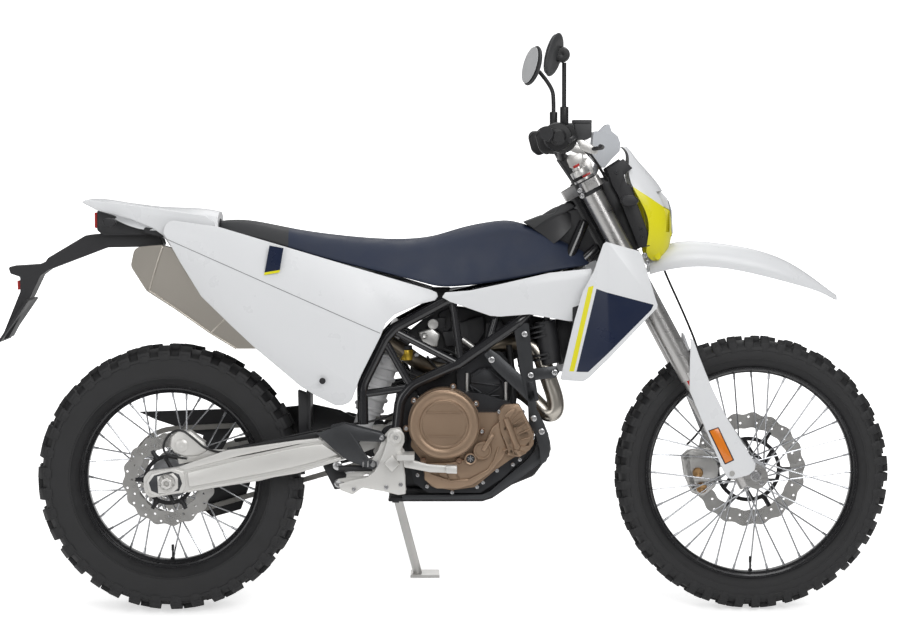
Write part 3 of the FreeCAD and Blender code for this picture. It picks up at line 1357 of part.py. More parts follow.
radiators = []
for side in (-1, 1):
    inner = side * size("radiator_inner") if side > 0 else -size("radiator_inner", "radiator_wide")
    radiators.append(block(f"Radiator{side}", Vector(size("radiator_x"), inner, size("radiator_z")),
                           (("radiator_thick",), ("radiator_wide",), ("radiator_tall",))))
canister_low = Vector(size("canister_x"), -size("canister_y"), size("canister_z"))
canister_high = canister_low + Vector(-size("canister_slope"), 0, size("canister_tall"))
canister = rod("Canister", "canister_radius", canister_low, canister_high)
canister_stay = rod("CanisterStay", "panel_mount", canister_low, Vector(
    canister_high.x, -size("canister_y", "canister_shift"), canister_high.z + size("canister_stay")))
piece("radiators", minus("RadiatorsSeated", group(
    "Radiators", *radiators, fused("CanisterOnStay", canister, canister_stay)), frame))

NOSE_SHARES = ((0, 0.02, 0.66, 0.8, 0.6), (0.45, 0.2, 0.78, 0.9, 0.7), (0.8, 0.4, 0.95, 0.9, 0.66),
               (1, 0.6, 0.9, 0.7, 0.5))
nose_stations = []
for along, low, high, half_low, half_high in NOSE_SHARES:
    low_z = size("nose_foot") + low * size("nose_tall")
    high_z = size("nose_foot") + high * size("nose_tall")
    edges = saddle_section(half_low * size("nose_half"), half_high * size("nose_half"),
                           low_z, high_z, (high_z - low_z) * 0.3)
    nose_stations.append((size("nose_back") + along * size("nose_long"), edges))
nose_raw = lofted("Nose", "YZ_Plane", nose_stations)
piece("airbox_cover", minus("NoseSeated", nose_raw, seat_raw, frame))


# Below the engine, foot controls and plates

SKID_SHARES = ((0, 0), (0.578, 0), (0.638, 0.039), (0.971, 0.502), (1, 0.654), (0.995, 0.751),
               (0.975, 0.9), (0.95, 0.878), (0.955, 0.66), (0.935, 0.54), (0.609, 0.07),
               (0.57, 0.04), (0, 0.04))
skid_sheet = pad("SkidSheet", rounded(flat(SKID_SHARES, *box_of("skid")), size("skid_round")),
                 size("skid_half", "skid_half"), -size("skid_half"))
skid_lug = block("SkidLug", Vector(size("skid_back") + size("skid_long") * 0.3,
                                   -size("skid_half") / 2,
                                   size("skid_foot") + size("skid_tall") * 0.02),
                 (("peg_wide",), ("skid_half",), ("peg_wide",)))
skid_raw = fused("Skid", skid_sheet, skid_lug)
piece("skid_plate", minus("SkidSeated", skid_raw, crankcase, right_cover))

PEG_BRACKET_SHARES = ((0.701, 0.882), (0.786, 0.982), (0.92, 1), (0.973, 0.853), (0.947, 0.7),
                      (0.989, 0.629), (0.92, 0.541), (0.957, 0.359), (1, 0.065), (0.973, 0),
                      (0.85, 0), (0.759, 0.076), (0.406, 0.124), (0, 0.212), (0.176, 0.241),
                      (0.487, 0.271), (0.567, 0.359), (0.513, 0.476), (0.62, 0.659))
peg_bracket = pad("PegBracket", rounded(flat(PEG_BRACKET_SHARES, *box_of("peg")),
                                        size("skid_round")), ("peg_thick",), ("peg_inner",))
peg_foot = -size("peg_inner", "peg_reach")
peg_block = block("Peg", Vector(size("peg_x"), peg_foot, size("peg_z")),
                  (("peg_wide",), ("peg_reach",), ("peg_deep",)))
peg_right = fused("PegRight", peg_bracket, peg_block)
piece("footpegs", group("Footpegs", peg_right, flipped("PegLeft", peg_right)))

HEEL_SHARES = ((0, 0.934), (0.259, 1), (0.914, 0.81), (1, 0.686), (0.914, 0.603), (0.496, 0.603),
               (0.583, 0.413), (0.799, 0.083), (0.691, 0), (0.367, 0.19), (0, 0.479))
heel = pad("Heel", rounded(flat(HEEL_SHARES, *box_of("heel")), size("skid_round")),
           ("heel_thick",), ("peg_inner", "peg_thick"))
lever_y = -size("lever_y")
pedal_points = [Vector(size("peg_x") - size("peg_long") / 2, lever_y,
                       size("peg_foot") + size("peg_tall") * 0.2),
                Vector(size("peg_x", "peg_wide"), lever_y, size("peg_foot") + size("peg_tall") / 2),
                Vector(size("toe_x"), lever_y, size("toe_z"))]
pedal = tube("Pedal", pedal_points, size("lever_radius"), size("header_bend"))
toe = across("Toe", "lever_radius", size("toe_x"), size("toe_z"), lever_y,
             lever_y - size("toe_long"))
pedal_pin = across("PedalPin", "lever_radius", pedal_points[0].x, pedal_points[0].z, lever_y,
                   -size("peg_inner", "peg_thick"))
brake_pedal = minus("BrakePedal", fused("PedalFused", pedal, toe, pedal_pin), peg_right, heel)
gear_first = Vector(size("gear_shaft_x"), size("lever_y"), size("gear_shaft_z"))
gear_last = Vector(size("gear_toe_x"), size("lever_y"), size("gear_toe_z"))
gear_arm = rod("GearArm", "lever_radius", gear_first, gear_last)
gear_toe = rod("GearToe", "lever_radius", gear_last, gear_last + Vector(0, size("toe_long"), 0))
gear_shaft = rod("GearShaft", "lever_radius", gear_first,
                 Vector(gear_first.x, size("engine_left"), gear_first.z))
gear_lever = minus("GearLever", fused("GearFused", gear_arm, gear_toe, gear_shaft), chain,
                   left_cover)
piece("foot_levers", group("FootLevers", brake_pedal, gear_lever))

BRACKET_SHARES = ((0, 1), (0.6, 1), (0.8, 0.4), (1, 0), (0.55, 0), (0.25, 0.45))
bracket = pad("Bracket", rounded(flat(BRACKET_SHARES, *box_of("bracket")), size("skid_round")),
              ("bracket_thick",), ("bracket_y",))
bracket_right = minus("BracketRight", bracket, frame, right_cover)
bracket_left = minus("BracketLeft", flipped("BracketLeftRaw", bracket), frame)
piece("frame_plates", group("FramePlates", heel, flipped("HeelLeft", heel), bracket_right,
                            bracket_left))


# Rear brake caliper, chain guard and mud flap

caliper_y = size("rear_disc_y")
caliper_half = size("caliper_thick") / 2
caliper = across("RearCaliper", "caliper_radius", size("caliper_x"), size("caliper_z"),
                 caliper_y + caliper_half, caliper_y - caliper_half)
disc_room = across("DiscRoom", "rear_disc", REAR_AXLE.x, REAR_AXLE.z,
                   caliper_y + size("disc_thick", "running_gap"),
                   caliper_y - size("disc_thick", "running_gap"))
bind(disc_room, "Radius", "rear_disc", "disc_gap")
hanger = block("Hanger", Vector(size("caliper_x") - size("hanger_long") / 2,
                                -size("arm_outer", "-arm_thick"), REAR_AXLE.z),
               (("hanger_long",), ("hanger_thick",), ("caliper_z", "-rear_radius")))
piece("rear_caliper", minus("RearCaliperSeated", fused("CaliperFused", caliper, hanger),
                            disc_room, swingarm, rear_bar))
flap = block("Flap", Vector(size("flap_back"), -size("flap_half"), size("flap_foot")),
             (("flap_long",), ("flap_half", "flap_half"), ("flap_tall",)))
piece("mud_flap", minus("FlapSeated", flap, swingarm, chain, tank))


# Steering head: clamps, fork legs, axle lugs

clamp_parts = []
leg_parts = []
for side in (-1, 1):
    leg_y = side * size("leg_y")
    leg_parts.append(rod(f"UpperTube{side}", "upper_tube_radius", on_fork(size("upper_tube_low"), leg_y),
                         on_fork(TOP_CLAMP_UP + size("upper_tube_over"), leg_y)))
    leg_parts.append(rod(f"Slider{side}", "slider_radius", on_fork(size("slider_low"), leg_y),
                         on_fork(size("upper_tube_low", "overrun"), leg_y)))
    axle_centre = on_fork(0, leg_y, size("axle_lead"))
    leg_half = Vector(0, size("lug_half"), 0)
    leg_parts.append(rod(f"Lug{side}", "lug_radius", axle_centre - leg_half, axle_centre + leg_half))
legs_raw = fused("ForkLegs", *leg_parts)
CLAMP_SHARES = ((-1, -0.3), (-1, 0.9), (-0.35, 0.9), (-0.2, 0.35), (0.2, 0.35), (0.35, 0.9),
                (1, 0.9), (1, -0.3), (0.3, -1.6), (-0.3, -1.6))
clamp_half = size("leg_y", "upper_tube_radius", "clamp_pad")
clamp_reach = size("upper_tube_radius", "clamp_pad")
for level, mark in ((size("lower_clamp_up"), "Lower"), (TOP_CLAMP_UP, "Top")):
    points = [Vector(sy * clamp_reach, sx * clamp_half) for sx, sy in CLAMP_SHARES]
    plate = pad(f"{mark}Clamp", rounded(points, size("clamp_pad")), ("clamp_thick",), (),
                "XY_Plane")
    plate.Placement = Placement(on_fork(level) - UP_FORK * (size("clamp_thick") / 2), FORK.Rotation)
    clamp_parts.append(plate)
stem = rod("Stem", "stem_radius", on_head(size("lower_clamp_up")), on_head(TOP_CLAMP_UP))
clamps_raw = fused("Clamps", stem, *clamp_parts)
clamps = piece("triple_clamps", minus("ClampsSeated", clamps_raw, legs_raw))
legs = piece("fork_legs", minus("LegsSeated", legs_raw, front_bar))

guard_parts = []
for side in (-1, 1):
    shell_low = on_fork(size("guard_low"), side * size("leg_y"))
    shell_high = on_fork(size("guard_low", "guard_tall"), side * size("leg_y"))
    outer = doc.addObject("Part::Cylinder", f"GuardOuter{side}")
    outer.Radius = size("upper_tube_radius", "panel_thick", "guard_gap", "panel_thick")
    bind(outer, "Height", "guard_tall")
    outer.Placement = Placement(shell_low, toward(UP_FORK))
    inner = doc.addObject("Part::Cylinder", f"GuardInner{side}")
    inner.Radius = size("upper_tube_radius", "guard_gap")
    inner.Height = size("guard_tall", "overrun", "overrun")
    inner.Placement = Placement(shell_low - UP_FORK * size("overrun"), toward(UP_FORK))
    rear_room = doc.addObject("Part::Box", f"GuardRoom{side}")
    bind(rear_room, "Length", "guard_tall")
    bind(rear_room, "Width", "guard_tall")
    rear_room.Height = size("guard_tall", "overrun", "overrun")
    rear_room.Placement = Placement(shell_low - UP_FORK * size("overrun")
                                    - AHEAD_FORK * size("guard_tall")
                                    - Vector(0, size("guard_tall") / 2, 0), FORK.Rotation)
    guard_parts.append(minus(f"Guard{side}", outer, inner, rear_room))
fork_guards = piece("fork_guards", minus("ForkGuards", group("Guards", *guard_parts), legs))

# Handlebar, controls and mirrors
bar_mid = TOP + Vector(size("bar_forward"), 0, size("bar_up"))
BAR_SHARES = ((0, 0, 0), (0, 0.14, 0), (-0.35, 0.42, 0.85), (-1, 1, 1))


def bar_points(side):
    return [bar_mid + Vector(sx * size("bar_sweep"), side * sy * size("bar_half"),
                             sz * size("bar_rise")) for sx, sy, sz in BAR_SHARES]


right_run = list(reversed(bar_points(-1)))
bar = tube("Bar", right_run + bar_points(1)[1:], size("bar_end_radius"), size("bar_bend"))
risers = []
for side in (-1, 1):
    riser_low = TOP + UP_FORK * (size("clamp_thick") / 2) + Vector(0, side * size("riser_y"), 0)
    riser_low = riser_low + AHEAD_FORK * -size("riser_deep") * 0.3
    riser_end = bar_mid + Vector(0, side * size("riser_y"), 0)
    risers.append(rod(f"Riser{side}", "bar_radius", riser_low, riser_end))
bar_raw = fused("BarFused", bar, *risers)
handlebar = piece("handlebar", minus("HandlebarSeated", bar_raw, clamps_raw))

controls = []
for side in (-1, 1):
    points = bar_points(side)
    line = (points[3] - points[2]).normalize()
    grip_out = points[3] + line * size("bar_end_radius")
    grip_in = points[3] - line * size("grip_long")
    controls.append(rod(f"Grip{side}", "grip_radius", grip_in, grip_out))
    perch = rod(f"Perch{side}", "grip_radius", grip_in - line * size("riser_deep"), grip_in)
    lever_tip = points[3] + Vector(size("grip_radius", "riser_deep"), 0, -size("grip_radius"))
    lever_first = grip_in - line * size("grip_radius")
    lever_start = lever_first + Vector(size("grip_radius", "riser_deep"), 0, 0)
    controls.append(perch)
    controls.append(rod(f"LeverArm{side}", "lever_radius", lever_first, lever_start))
    controls.append(rod(f"Lever{side}", "lever_radius", lever_start, lever_tip))
controls_raw = fused("ControlsFused", *controls)
piece("hand_controls", minus("HandControls", controls_raw, bar))

mirror_parts = {}
for side, mark in ((-1, "right"), (1, "left")):
    points = bar_points(side)
    line = (points[3] - points[2]).normalize()
    foot = points[3] - line * (size("bar_half", "-mirror_stem_y"))
    middle = Vector(points[3].x, side * size("mirror_y"), points[3].z + size("mirror_up"))
    knee = foot + Vector(size("grip_radius"), 0, size("mirror_up") / 2)
    stem_parts = tube(f"MirrorStem{mark}", [foot, knee, middle], size("stem_rod"),
                      size("header_bend"))
    glass = doc.addObject("Part::Ellipsoid", f"MirrorHead{mark}")
    glass.Radius1 = size("mirror_deep")
    glass.Radius2 = size("mirror_half_tall")
    glass.Radius3 = size("mirror_half_wide")
    glass.Placement = Placement(middle, Rotation(Vector(0, 1, 0), 90))
    mirror_parts[mark] = fused(f"Mirror{mark}", stem_parts, glass)
    piece(f"mirror_{mark}", minus(f"MirrorSeated{mark}", mirror_parts[mark], controls_raw, bar))


# Front mudguard, headlight surround, lamps and screen

def arch_section(half, low, high, thick):
    """Cross section of a mudguard: an arch of even thickness."""
    rise = high - low
    outer = [Vector(-half, low), Vector(-half * 0.82, low + rise * 0.72), Vector(0, high),
             Vector(half * 0.82, low + rise * 0.72), Vector(half, low)]
    inner_half = half - thick
    inner = [Vector(inner_half, low), Vector(inner_half * 0.82, low + (rise - thick) * 0.72),
             Vector(0, high - thick), Vector(-inner_half * 0.82, low + (rise - thick) * 0.72),
             Vector(-inner_half, low)]
    return loop(outer, [outer[-1], inner[0]], inner, [inner[-1], outer[0]])


FENDER_SHARES = ((0, 0.46, 0.68, 0.94), (0.13, 0.56, 0.99, 1), (0.38, 0.57, 0.985, 0.94),
                 (0.6, 0.43, 0.85, 0.83), (0.81, 0.25, 0.54, 0.66), (1, 0, 0.1, 0.34))
fender_stations = []
for along, low, high, half in FENDER_SHARES:
    edges = arch_section(half * size("fender_half"), size("fender_foot") + low * size("fender_tall"),
                         size("fender_foot") + high * size("fender_tall"), size("fender_thick"))
    fender_stations.append((size("fender_back") + along * size("fender_long"), edges))
fender_raw = lofted("Fender", "YZ_Plane", fender_stations)
fender_mount = doc.addObject("Part::Box", "FenderMount")
bind(fender_mount, "Length", "fender_mount_long")
bind(fender_mount, "Width", "fender_mount_wide")
bind(fender_mount, "Height", "fender_mount_thick")
mount_corner = on_fork(size("lower_clamp_up", "-fender_mount_thick") - size("clamp_thick") / 2,
                       -size("fender_mount_wide") / 2)
fender_mount.Placement = Placement(mount_corner, FORK.Rotation)
fender = piece("front_mudguard", minus("FenderSeated", fused("FenderFused", fender_raw,
                                                             fender_mount), legs, clamps))


def bow_section(back, front, half, thick):
    """Plan section of the headlight surround: a bow that opens to the rear."""
    def bow(reach, wide):
        return [Vector(back, -wide), Vector(back + (reach - back) * 0.7, -wide * 0.78),
                Vector(reach, 0), Vector(back + (reach - back) * 0.7, wide * 0.78),
                Vector(back, wide)]
    outer = bow(front, half)
    inner = list(reversed(bow(front - thick, half - thick)))
    return loop(outer, [outer[-1], inner[0]], inner, [inner[-1], outer[0]])


MASK_SHARES = ((0, 0.6, 0.8, 0.58), (0.24, 0.5, 1, 0.94), (0.45, 0.42, 0.96, 1),
               (0.64, 0.2, 0.78, 0.96), (0.81, 0.12, 0.47, 0.77), (1, 0, 0.12, 0.4))
mask_stations = []
for up, back, front, half in MASK_SHARES:
    edges = bow_section(size("mask_back") + back * size("mask_long"),
                        size("mask_back") + front * size("mask_long"),
                        half * size("mask_half"), size("mask_thick"))
    mask_stations.append((size("mask_foot") + up * size("mask_tall"), edges))
mask_raw = lofted("Mask", "XY_Plane", mask_stations)
lamp_face_low = size("lamp_face_low")
lamp_body = block("LampBody", Vector(size("lamp_body_x"), -size("lamp_face_half"), lamp_face_low),
                  (("lamp_body_long",), ("lamp_face_half", "lamp_face_half"), ("lamp_face_tall",)))
mask = piece("headlight_surround", minus("MaskSeated", mask_raw, lamp_body, fender))
front_blinkers = []
blinker_x = size("mask_back")
for side in (-1, 1):
    stalk_z = size("lamp_face_low") + size("lamp_face_tall") * 0.8
    stalk_root = Vector(size("lamp_body_x", "blinker_stalk"), side * size("lamp_face_half") * 0.9,
                        stalk_z)
    stalk_end = Vector(blinker_x + size("blinker_deep") / 2, side * size("front_blinker_y"), stalk_z)
    stalk = rod(f"FrontStalk{side}", "blinker_stalk", stalk_root, stalk_end)
    pod = block(f"FrontPod{side}",
                Vector(blinker_x, side * size("front_blinker_y") - size("blinker_long") / 2,
                       stalk_z - size("blinker_tall") / 2),
                (("blinker_deep",), ("blinker_long",), ("blinker_tall",)))
    front_blinkers += [stalk, pod]
lamp_stays = [rod(f"LampStay{side}", "lever_radius",
                  on_fork(size("lower_clamp_up") + size("clamp_spread") / 2, side * size("leg_y")),
                  Vector(size("lamp_body_x"), side * size("lamp_face_half") * 0.9, stalk_z))
              for side in (-1, 1)]
piece("front_lamps", minus("FrontLamps", fused("FrontLampsFused", lamp_body, *front_blinkers,
                                               *lamp_stays), mask, legs_raw))
SCREEN_SHARES = ((0.068, 0.808), (0.284, 0.808), (0.595, 1), (0.689, 0.808), (0.905, 0.7),
                 (1, 0.55), (0.973, 0.383), (0.689, 0.208), (0.419, 0), (0, 0.275))
screen_raw = pad("Screen", rounded(flat(SCREEN_SHARES, *box_of("screen")), size("skid_round")),
                 size("screen_half", "screen_half"), -size("screen_half"))
screen_stay = rod("ScreenStay", "panel_mount", TOP + AHEAD_FORK * size("clamp_pad"),
                  Vector(size("screen_back") + size("screen_long") / 2, 0,
                         size("screen_foot") + size("screen_tall") / 2))
piece("instrument_panel", minus("ScreenSeated", fused("ScreenFused", screen_raw, screen_stay),
                                bar_raw, clamps_raw, mask, legs))

# Front brake caliper on the left leg
brake_y = size("front_disc_y")
front_caliper = doc.addObject("Part::Box", "FrontCaliper")
bind(front_caliper, "Length", "brake_deep")
bind(front_caliper, "Width", "brake_wide")
bind(front_caliper, "Height", "brake_long")
brake_corner = on_fork(0, size("brake_inner"), -size("front_disc"))
front_caliper.Placement = Placement(brake_corner, FORK.Rotation)
caliper_bracket = doc.addObject("Part::Box", "CaliperBracket")
bind(caliper_bracket, "Length", "holder_long")
bind(caliper_bracket, "Width", "holder_wide")
bind(caliper_bracket, "Height", "holder_tall")
holder_corner = on_fork(size("holder_up"), size("holder_y"), -size("holder_long"))
caliper_bracket.Placement = Placement(holder_corner, FORK.Rotation)
bracketed_caliper = fused("BracketedCaliper", front_caliper, caliper_bracket)
front_disc_room = across("FrontDiscRoom", "front_disc", FRONT_AXLE.x, FRONT_AXLE.z,
                         brake_y + size("disc_thick", "running_gap"),
                         brake_y - size("disc_thick", "running_gap"))
bind(front_disc_room, "Radius", "front_disc", "disc_gap")
piece("front_caliper", minus("FrontCaliperSeated", bracketed_caliper, front_disc_room, legs,
                             fork_guards))


# Side stand: it folds back about a canted pin

slant = math.radians(size("stand_rake"))
lean = math.radians(size("lean"))
front_drop = size("front_crown") * (1 - math.cos(lean))
STOOD = Placement(Vector(0, 0, front_drop), Rotation(Vector(1, 0, 0), -size("lean")))
down_leg = Vector(math.sin(slant), math.cos(slant) * math.sin(cant),
                  -math.cos(slant) * math.cos(cant))
fall = STOOD.Rotation.multVec(down_leg).z
stand_long = (size("stand_foot_thick") - STOOD.multVec(STAND_PIVOT).z) / fall
stand_foot = STAND_PIVOT + down_leg * stand_long
stand_leg = rod("StandLeg", "stand_leg", STAND_PIVOT, stand_foot)
stand_eye = rod("StandEye", "stand_eye", STAND_PIVOT - STAND_AXIS * size("stand_eye_half"),
                STAND_PIVOT + STAND_AXIS * size("stand_eye_half"))
FOOT = Placement(stand_foot, Rotation(Vector(1, 0, 0), size("lean")))
foot_plate = doc.addObject("Part::Box", "StandFoot")
bind(foot_plate, "Length", "stand_foot_long")
bind(foot_plate, "Width", "stand_foot_wide")
bind(foot_plate, "Height", "stand_foot_thick")
foot_corner = Vector(size("stand_foot_lead") - size("stand_foot_long") / 2,
                     -size("stand_foot_wide") / 2, -size("stand_foot_thick"))
foot_plate.Placement = FOOT.multiply(Placement(foot_corner, Rotation()))
piece("side_stand", fused("SideStand", stand_leg, stand_eye, foot_plate))


# Standing the motorcycle on its side stand

for item in NODES.values():
    item.Placement = STOOD
doc.recompute()

lows = []
highs = []
for item in NODES.values():
    box = item.Shape.optimalBoundingBox(False, False)
    lows.append((box.XMin, box.YMin, box.ZMin))
    highs.append((box.XMax, box.YMax, box.ZMax))
middle_x = (min(low[0] for low in lows) + max(high[0] for high in highs)) / 2
middle_y = (min(low[1] for low in lows) + max(high[1] for high in highs)) / 2
STOOD = Placement(Vector(-middle_x, -middle_y, front_drop), Rotation(Vector(1, 0, 0), -size("lean")))
for item in NODES.values():
    item.Placement = STOOD
doc.recompute()

for item in doc.Objects:
    for state in item.State:
        if state in ("Invalid", "Error"):
            raise RuntimeError(f"{item.Name} did not build: {item.State}")
for node, item in NODES.items():
    if item.Shape.isNull() or not item.Shape.isValid() or not item.Shape.Solids:
        raise RuntimeError(f"{node} is not a sound solid")

os.makedirs("parts", exist_ok=True)
for node, item in NODES.items():
    item.Shape.exportStep(os.path.join("parts", node + ".step"))


def told(point):
    stood = STOOD.multVec(point)
    return " ".join(f"{value / 1000:.6f}" for value in stood)


print("rear axle", told(REAR_AXLE))
print("front axle", told(FRONT_AXLE))
print("steering axis point", told(head_low))
print("stand pivot", told(STAND_PIVOT))
print("plate holes middle", told(BOARD.multVec(Vector(0, 0, size("plate_board_tall") / 2))))
board_out = STOOD.Rotation.multVec(BOARD.Rotation.multVec(Vector(-1, 0, 0)))
print("plate axis", " ".join(f"{value:.6f}" for value in board_out))
print("nodes", len(NODES))
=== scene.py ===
import json
import math

import bpy
from mathutils import Matrix, Vector


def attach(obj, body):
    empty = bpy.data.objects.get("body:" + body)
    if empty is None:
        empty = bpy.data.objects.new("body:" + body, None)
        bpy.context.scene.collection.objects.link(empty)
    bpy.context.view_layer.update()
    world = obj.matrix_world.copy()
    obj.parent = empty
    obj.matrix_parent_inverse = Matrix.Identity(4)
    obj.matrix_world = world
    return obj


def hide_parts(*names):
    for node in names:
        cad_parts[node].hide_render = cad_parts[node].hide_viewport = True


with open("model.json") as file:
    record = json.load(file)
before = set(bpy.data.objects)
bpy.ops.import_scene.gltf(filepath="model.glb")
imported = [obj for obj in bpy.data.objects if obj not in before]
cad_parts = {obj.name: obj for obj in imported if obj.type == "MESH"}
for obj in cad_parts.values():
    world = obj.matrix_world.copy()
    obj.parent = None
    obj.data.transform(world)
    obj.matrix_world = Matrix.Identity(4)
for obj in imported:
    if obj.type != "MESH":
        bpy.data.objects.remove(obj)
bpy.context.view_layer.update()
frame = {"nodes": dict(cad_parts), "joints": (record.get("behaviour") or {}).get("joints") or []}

nodes = frame["nodes"]
joints = {joint["name"]: joint for joint in frame["joints"]}

# The floor, the light and the camera. A motorcycle on its side stand leans to its left, and the
# camera leans with it, so that the picture shows it as the photograph does: from its right, a
# little above the hubs. Pieces are modelled upright, in metres from the floor under the rear
# axle (x forward, y to the rider's left), and are then leaned over with the frame.
REAR_RADIUS = 0.345
FORWARD = Vector((1, 0, 0))
LEFT = Vector(joints["rear_wheel_spin"]["axis"]).normalized()
UP = FORWARD.cross(LEFT)
LEANED = Matrix((FORWARD, LEFT, UP)).transposed().to_4x4()
LEANED.translation = Vector(joints["rear_wheel_spin"]["pos_m"]) - UP * REAR_RADIUS
CAMERA_PLACE = Vector((0.694, -7.2, 1.147))
CAMERA_PITCH = math.radians(-3.05)
CAMERA_YAW = math.radians(0.39)
PICTURE_WIDTH = 2.371
FLOOR_WHITE = (0.93, 0.93, 0.93, 1)


def clear_selection():
    bpy.ops.object.select_all(action="DESELECT")


clear_selection()
aim = Vector((math.sin(CAMERA_YAW), math.cos(CAMERA_YAW), math.tan(CAMERA_PITCH)))
bpy.ops.object.camera_add()
camera = bpy.context.object
camera.data.sensor_fit = "HORIZONTAL"
camera.data.lens = camera.data.sensor_width * -CAMERA_PLACE.y / PICTURE_WIDTH
camera.data.clip_end = 100
camera.matrix_world = LEANED @ (Matrix.Translation(CAMERA_PLACE)
                                @ aim.to_track_quat("-Z", "Y").to_matrix().to_4x4())
bpy.context.scene.camera = camera

bpy.ops.mesh.primitive_plane_add(size=60, location=(0, 0, 0))
floor = bpy.context.object
floor.name = "floor"
floor_paint = bpy.data.materials.new("floor_white")
floor_paint.use_nodes = True
floor_nodes = floor_paint.node_tree.nodes
floor_nodes.clear()
floor_matt = floor_nodes.new("ShaderNodeBsdfDiffuse")
floor_matt.inputs["Color"].default_value = FLOOR_WHITE
floor_glow = floor_nodes.new("ShaderNodeEmission")
floor_glow.inputs["Color"].default_value = FLOOR_WHITE
floor_where = floor_nodes.new("ShaderNodeTexCoord")
floor_reach = floor_nodes.new("ShaderNodeVectorMath")
floor_reach.operation = "LENGTH"
floor_fade = floor_nodes.new("ShaderNodeMapRange")
floor_fade.inputs["From Min"].default_value = 0.9
floor_fade.inputs["From Max"].default_value = 3.2
floor_fade.inputs["To Min"].default_value = 0.62
floor_fade.inputs["To Max"].default_value = 1.1
floor_rays = floor_nodes.new("ShaderNodeLightPath")
floor_add = floor_nodes.new("ShaderNodeAddShader")
floor_mix = floor_nodes.new("ShaderNodeMixShader")
floor_end = floor_nodes.new("ShaderNodeOutputMaterial")
floor_links = floor_paint.node_tree.links
floor_links.new(floor_where.outputs["Object"], floor_reach.inputs[0])
floor_links.new(floor_reach.outputs["Value"], floor_fade.inputs["Value"])
floor_links.new(floor_fade.outputs[0], floor_glow.inputs["Strength"])
floor_links.new(floor_matt.outputs[0], floor_add.inputs[0])
floor_links.new(floor_glow.outputs[0], floor_add.inputs[1])
floor_links.new(floor_rays.outputs["Is Camera Ray"], floor_mix.inputs[0])
floor_links.new(floor_matt.outputs[0], floor_mix.inputs[1])
floor_links.new(floor_add.outputs[0], floor_mix.inputs[2])
floor_links.new(floor_mix.outputs[0], floor_end.inputs["Surface"])
floor.data.materials.append(floor_paint)

world = bpy.data.worlds.new("studio")
bpy.context.scene.world = world
world.use_nodes = True
world.node_tree.nodes["Background"].inputs["Color"].default_value = (1, 1, 1, 1)
world_rays = world.node_tree.nodes.new("ShaderNodeLightPath")
world_fade = world.node_tree.nodes.new("ShaderNodeMapRange")
world_fade.inputs["To Min"].default_value = 0.36
world_fade.inputs["To Max"].default_value = 0.16
world.node_tree.links.new(world_rays.outputs["Is Glossy Ray"], world_fade.inputs["Value"])
world.node_tree.links.new(world_fade.outputs[0],
                          world.node_tree.nodes["Background"].inputs["Strength"])
bpy.context.scene.view_settings.view_transform = "Standard"


def soft_box(name, place, target, width, watts):
    """A studio soft box: a square area lamp, aimed at a point of the motorcycle."""
    bpy.ops.object.light_add(type="AREA", location=place)
    lamp = bpy.context.object
    lamp.name = name
    lamp.data.size = width
    lamp.data.energy = watts
    lamp.rotation_euler = (Vector(target) - Vector(place)).to_track_quat("-Z", "Y").to_euler()


soft_box("key", (1.6, -4.2, 4.2), (0, 0, 0.6), 3.0, 120)
soft_box("fill", (-2.8, -3.6, 2.2), (0, 0, 0.6), 2.5, 30)
soft_box("overhead", (0, 0.6, 4.5), (0, 0, 0.6), 3.5, 70)
soft_box("rear", (0.5, 4.2, 3.0), (0, 0, 0.6), 3.0, 40)


# Finishes. Each paint, plastic, casting and rubber below is a shader of its own, on one shared
# group that gives the tone, gloss and relief that such a surface has close to.
def make_surface_texture():
    group = bpy.data.node_groups.new("surface_texture", "ShaderNodeTree")
    for name, kind, start in (("Grain", "NodeSocketFloat", 900), ("Patch", "NodeSocketFloat", 18),
                              ("Mottle", "NodeSocketFloat", 0.1), ("Gloss low", "NodeSocketFloat", 0.3),
                              ("Gloss high", "NodeSocketFloat", 0.4),
                              ("Relief", "NodeSocketFloat", 0.00004),
                              ("Stretch", "NodeSocketVector", (1, 1, 1))):
        entry = group.interface.new_socket(name=name, in_out="INPUT", socket_type=kind)
        entry.default_value = start
    for name, kind in (("Tone", "NodeSocketFloat"), ("Roughness", "NodeSocketFloat"),
                       ("Normal", "NodeSocketVector")):
        group.interface.new_socket(name=name, in_out="OUTPUT", socket_type=kind)
    make = group.nodes.new
    join = group.links.new
    given = make("NodeGroupInput")
    result = make("NodeGroupOutput")
    where = make("ShaderNodeTexCoord")
    stretched = make("ShaderNodeVectorMath")
    stretched.operation = "MULTIPLY"
    join(where.outputs["Object"], stretched.inputs[0])
    join(given.outputs["Stretch"], stretched.inputs[1])
    fine = make("ShaderNodeTexNoise")
    fine.inputs["Detail"].default_value = 3
    join(stretched.outputs[0], fine.inputs["Vector"])
    join(given.outputs["Grain"], fine.inputs["Scale"])
    broad = make("ShaderNodeTexNoise")
    broad.inputs["Detail"].default_value = 5
    join(stretched.outputs[0], broad.inputs["Vector"])
    join(given.outputs["Patch"], broad.inputs["Scale"])
    tone = make("ShaderNodeMapRange")
    tone.inputs["From Min"].default_value = 0.35
    tone.inputs["From Max"].default_value = 0.65
    join(broad.outputs[0], tone.inputs["Value"])
    join(given.outputs["Mottle"], tone.inputs["To Max"])
    join(tone.outputs[0], result.inputs["Tone"])
    gloss = make("ShaderNodeMapRange")
    gloss.inputs["From Min"].default_value = 0.3
    gloss.inputs["From Max"].default_value = 0.7
    join(broad.outputs[0], gloss.inputs["Value"])
    join(given.outputs["Gloss low"], gloss.inputs["To Min"])
    join(given.outputs["Gloss high"], gloss.inputs["To Max"])
    join(gloss.outputs[0], result.inputs["Roughness"])
    relief = make("ShaderNodeBump")
    relief.inputs["Strength"].default_value = 1
    join(given.outputs["Relief"], relief.inputs["Distance"])
    join(fine.outputs[0], relief.inputs["Height"])
    join(relief.outputs[0], result.inputs["Normal"])
    return group


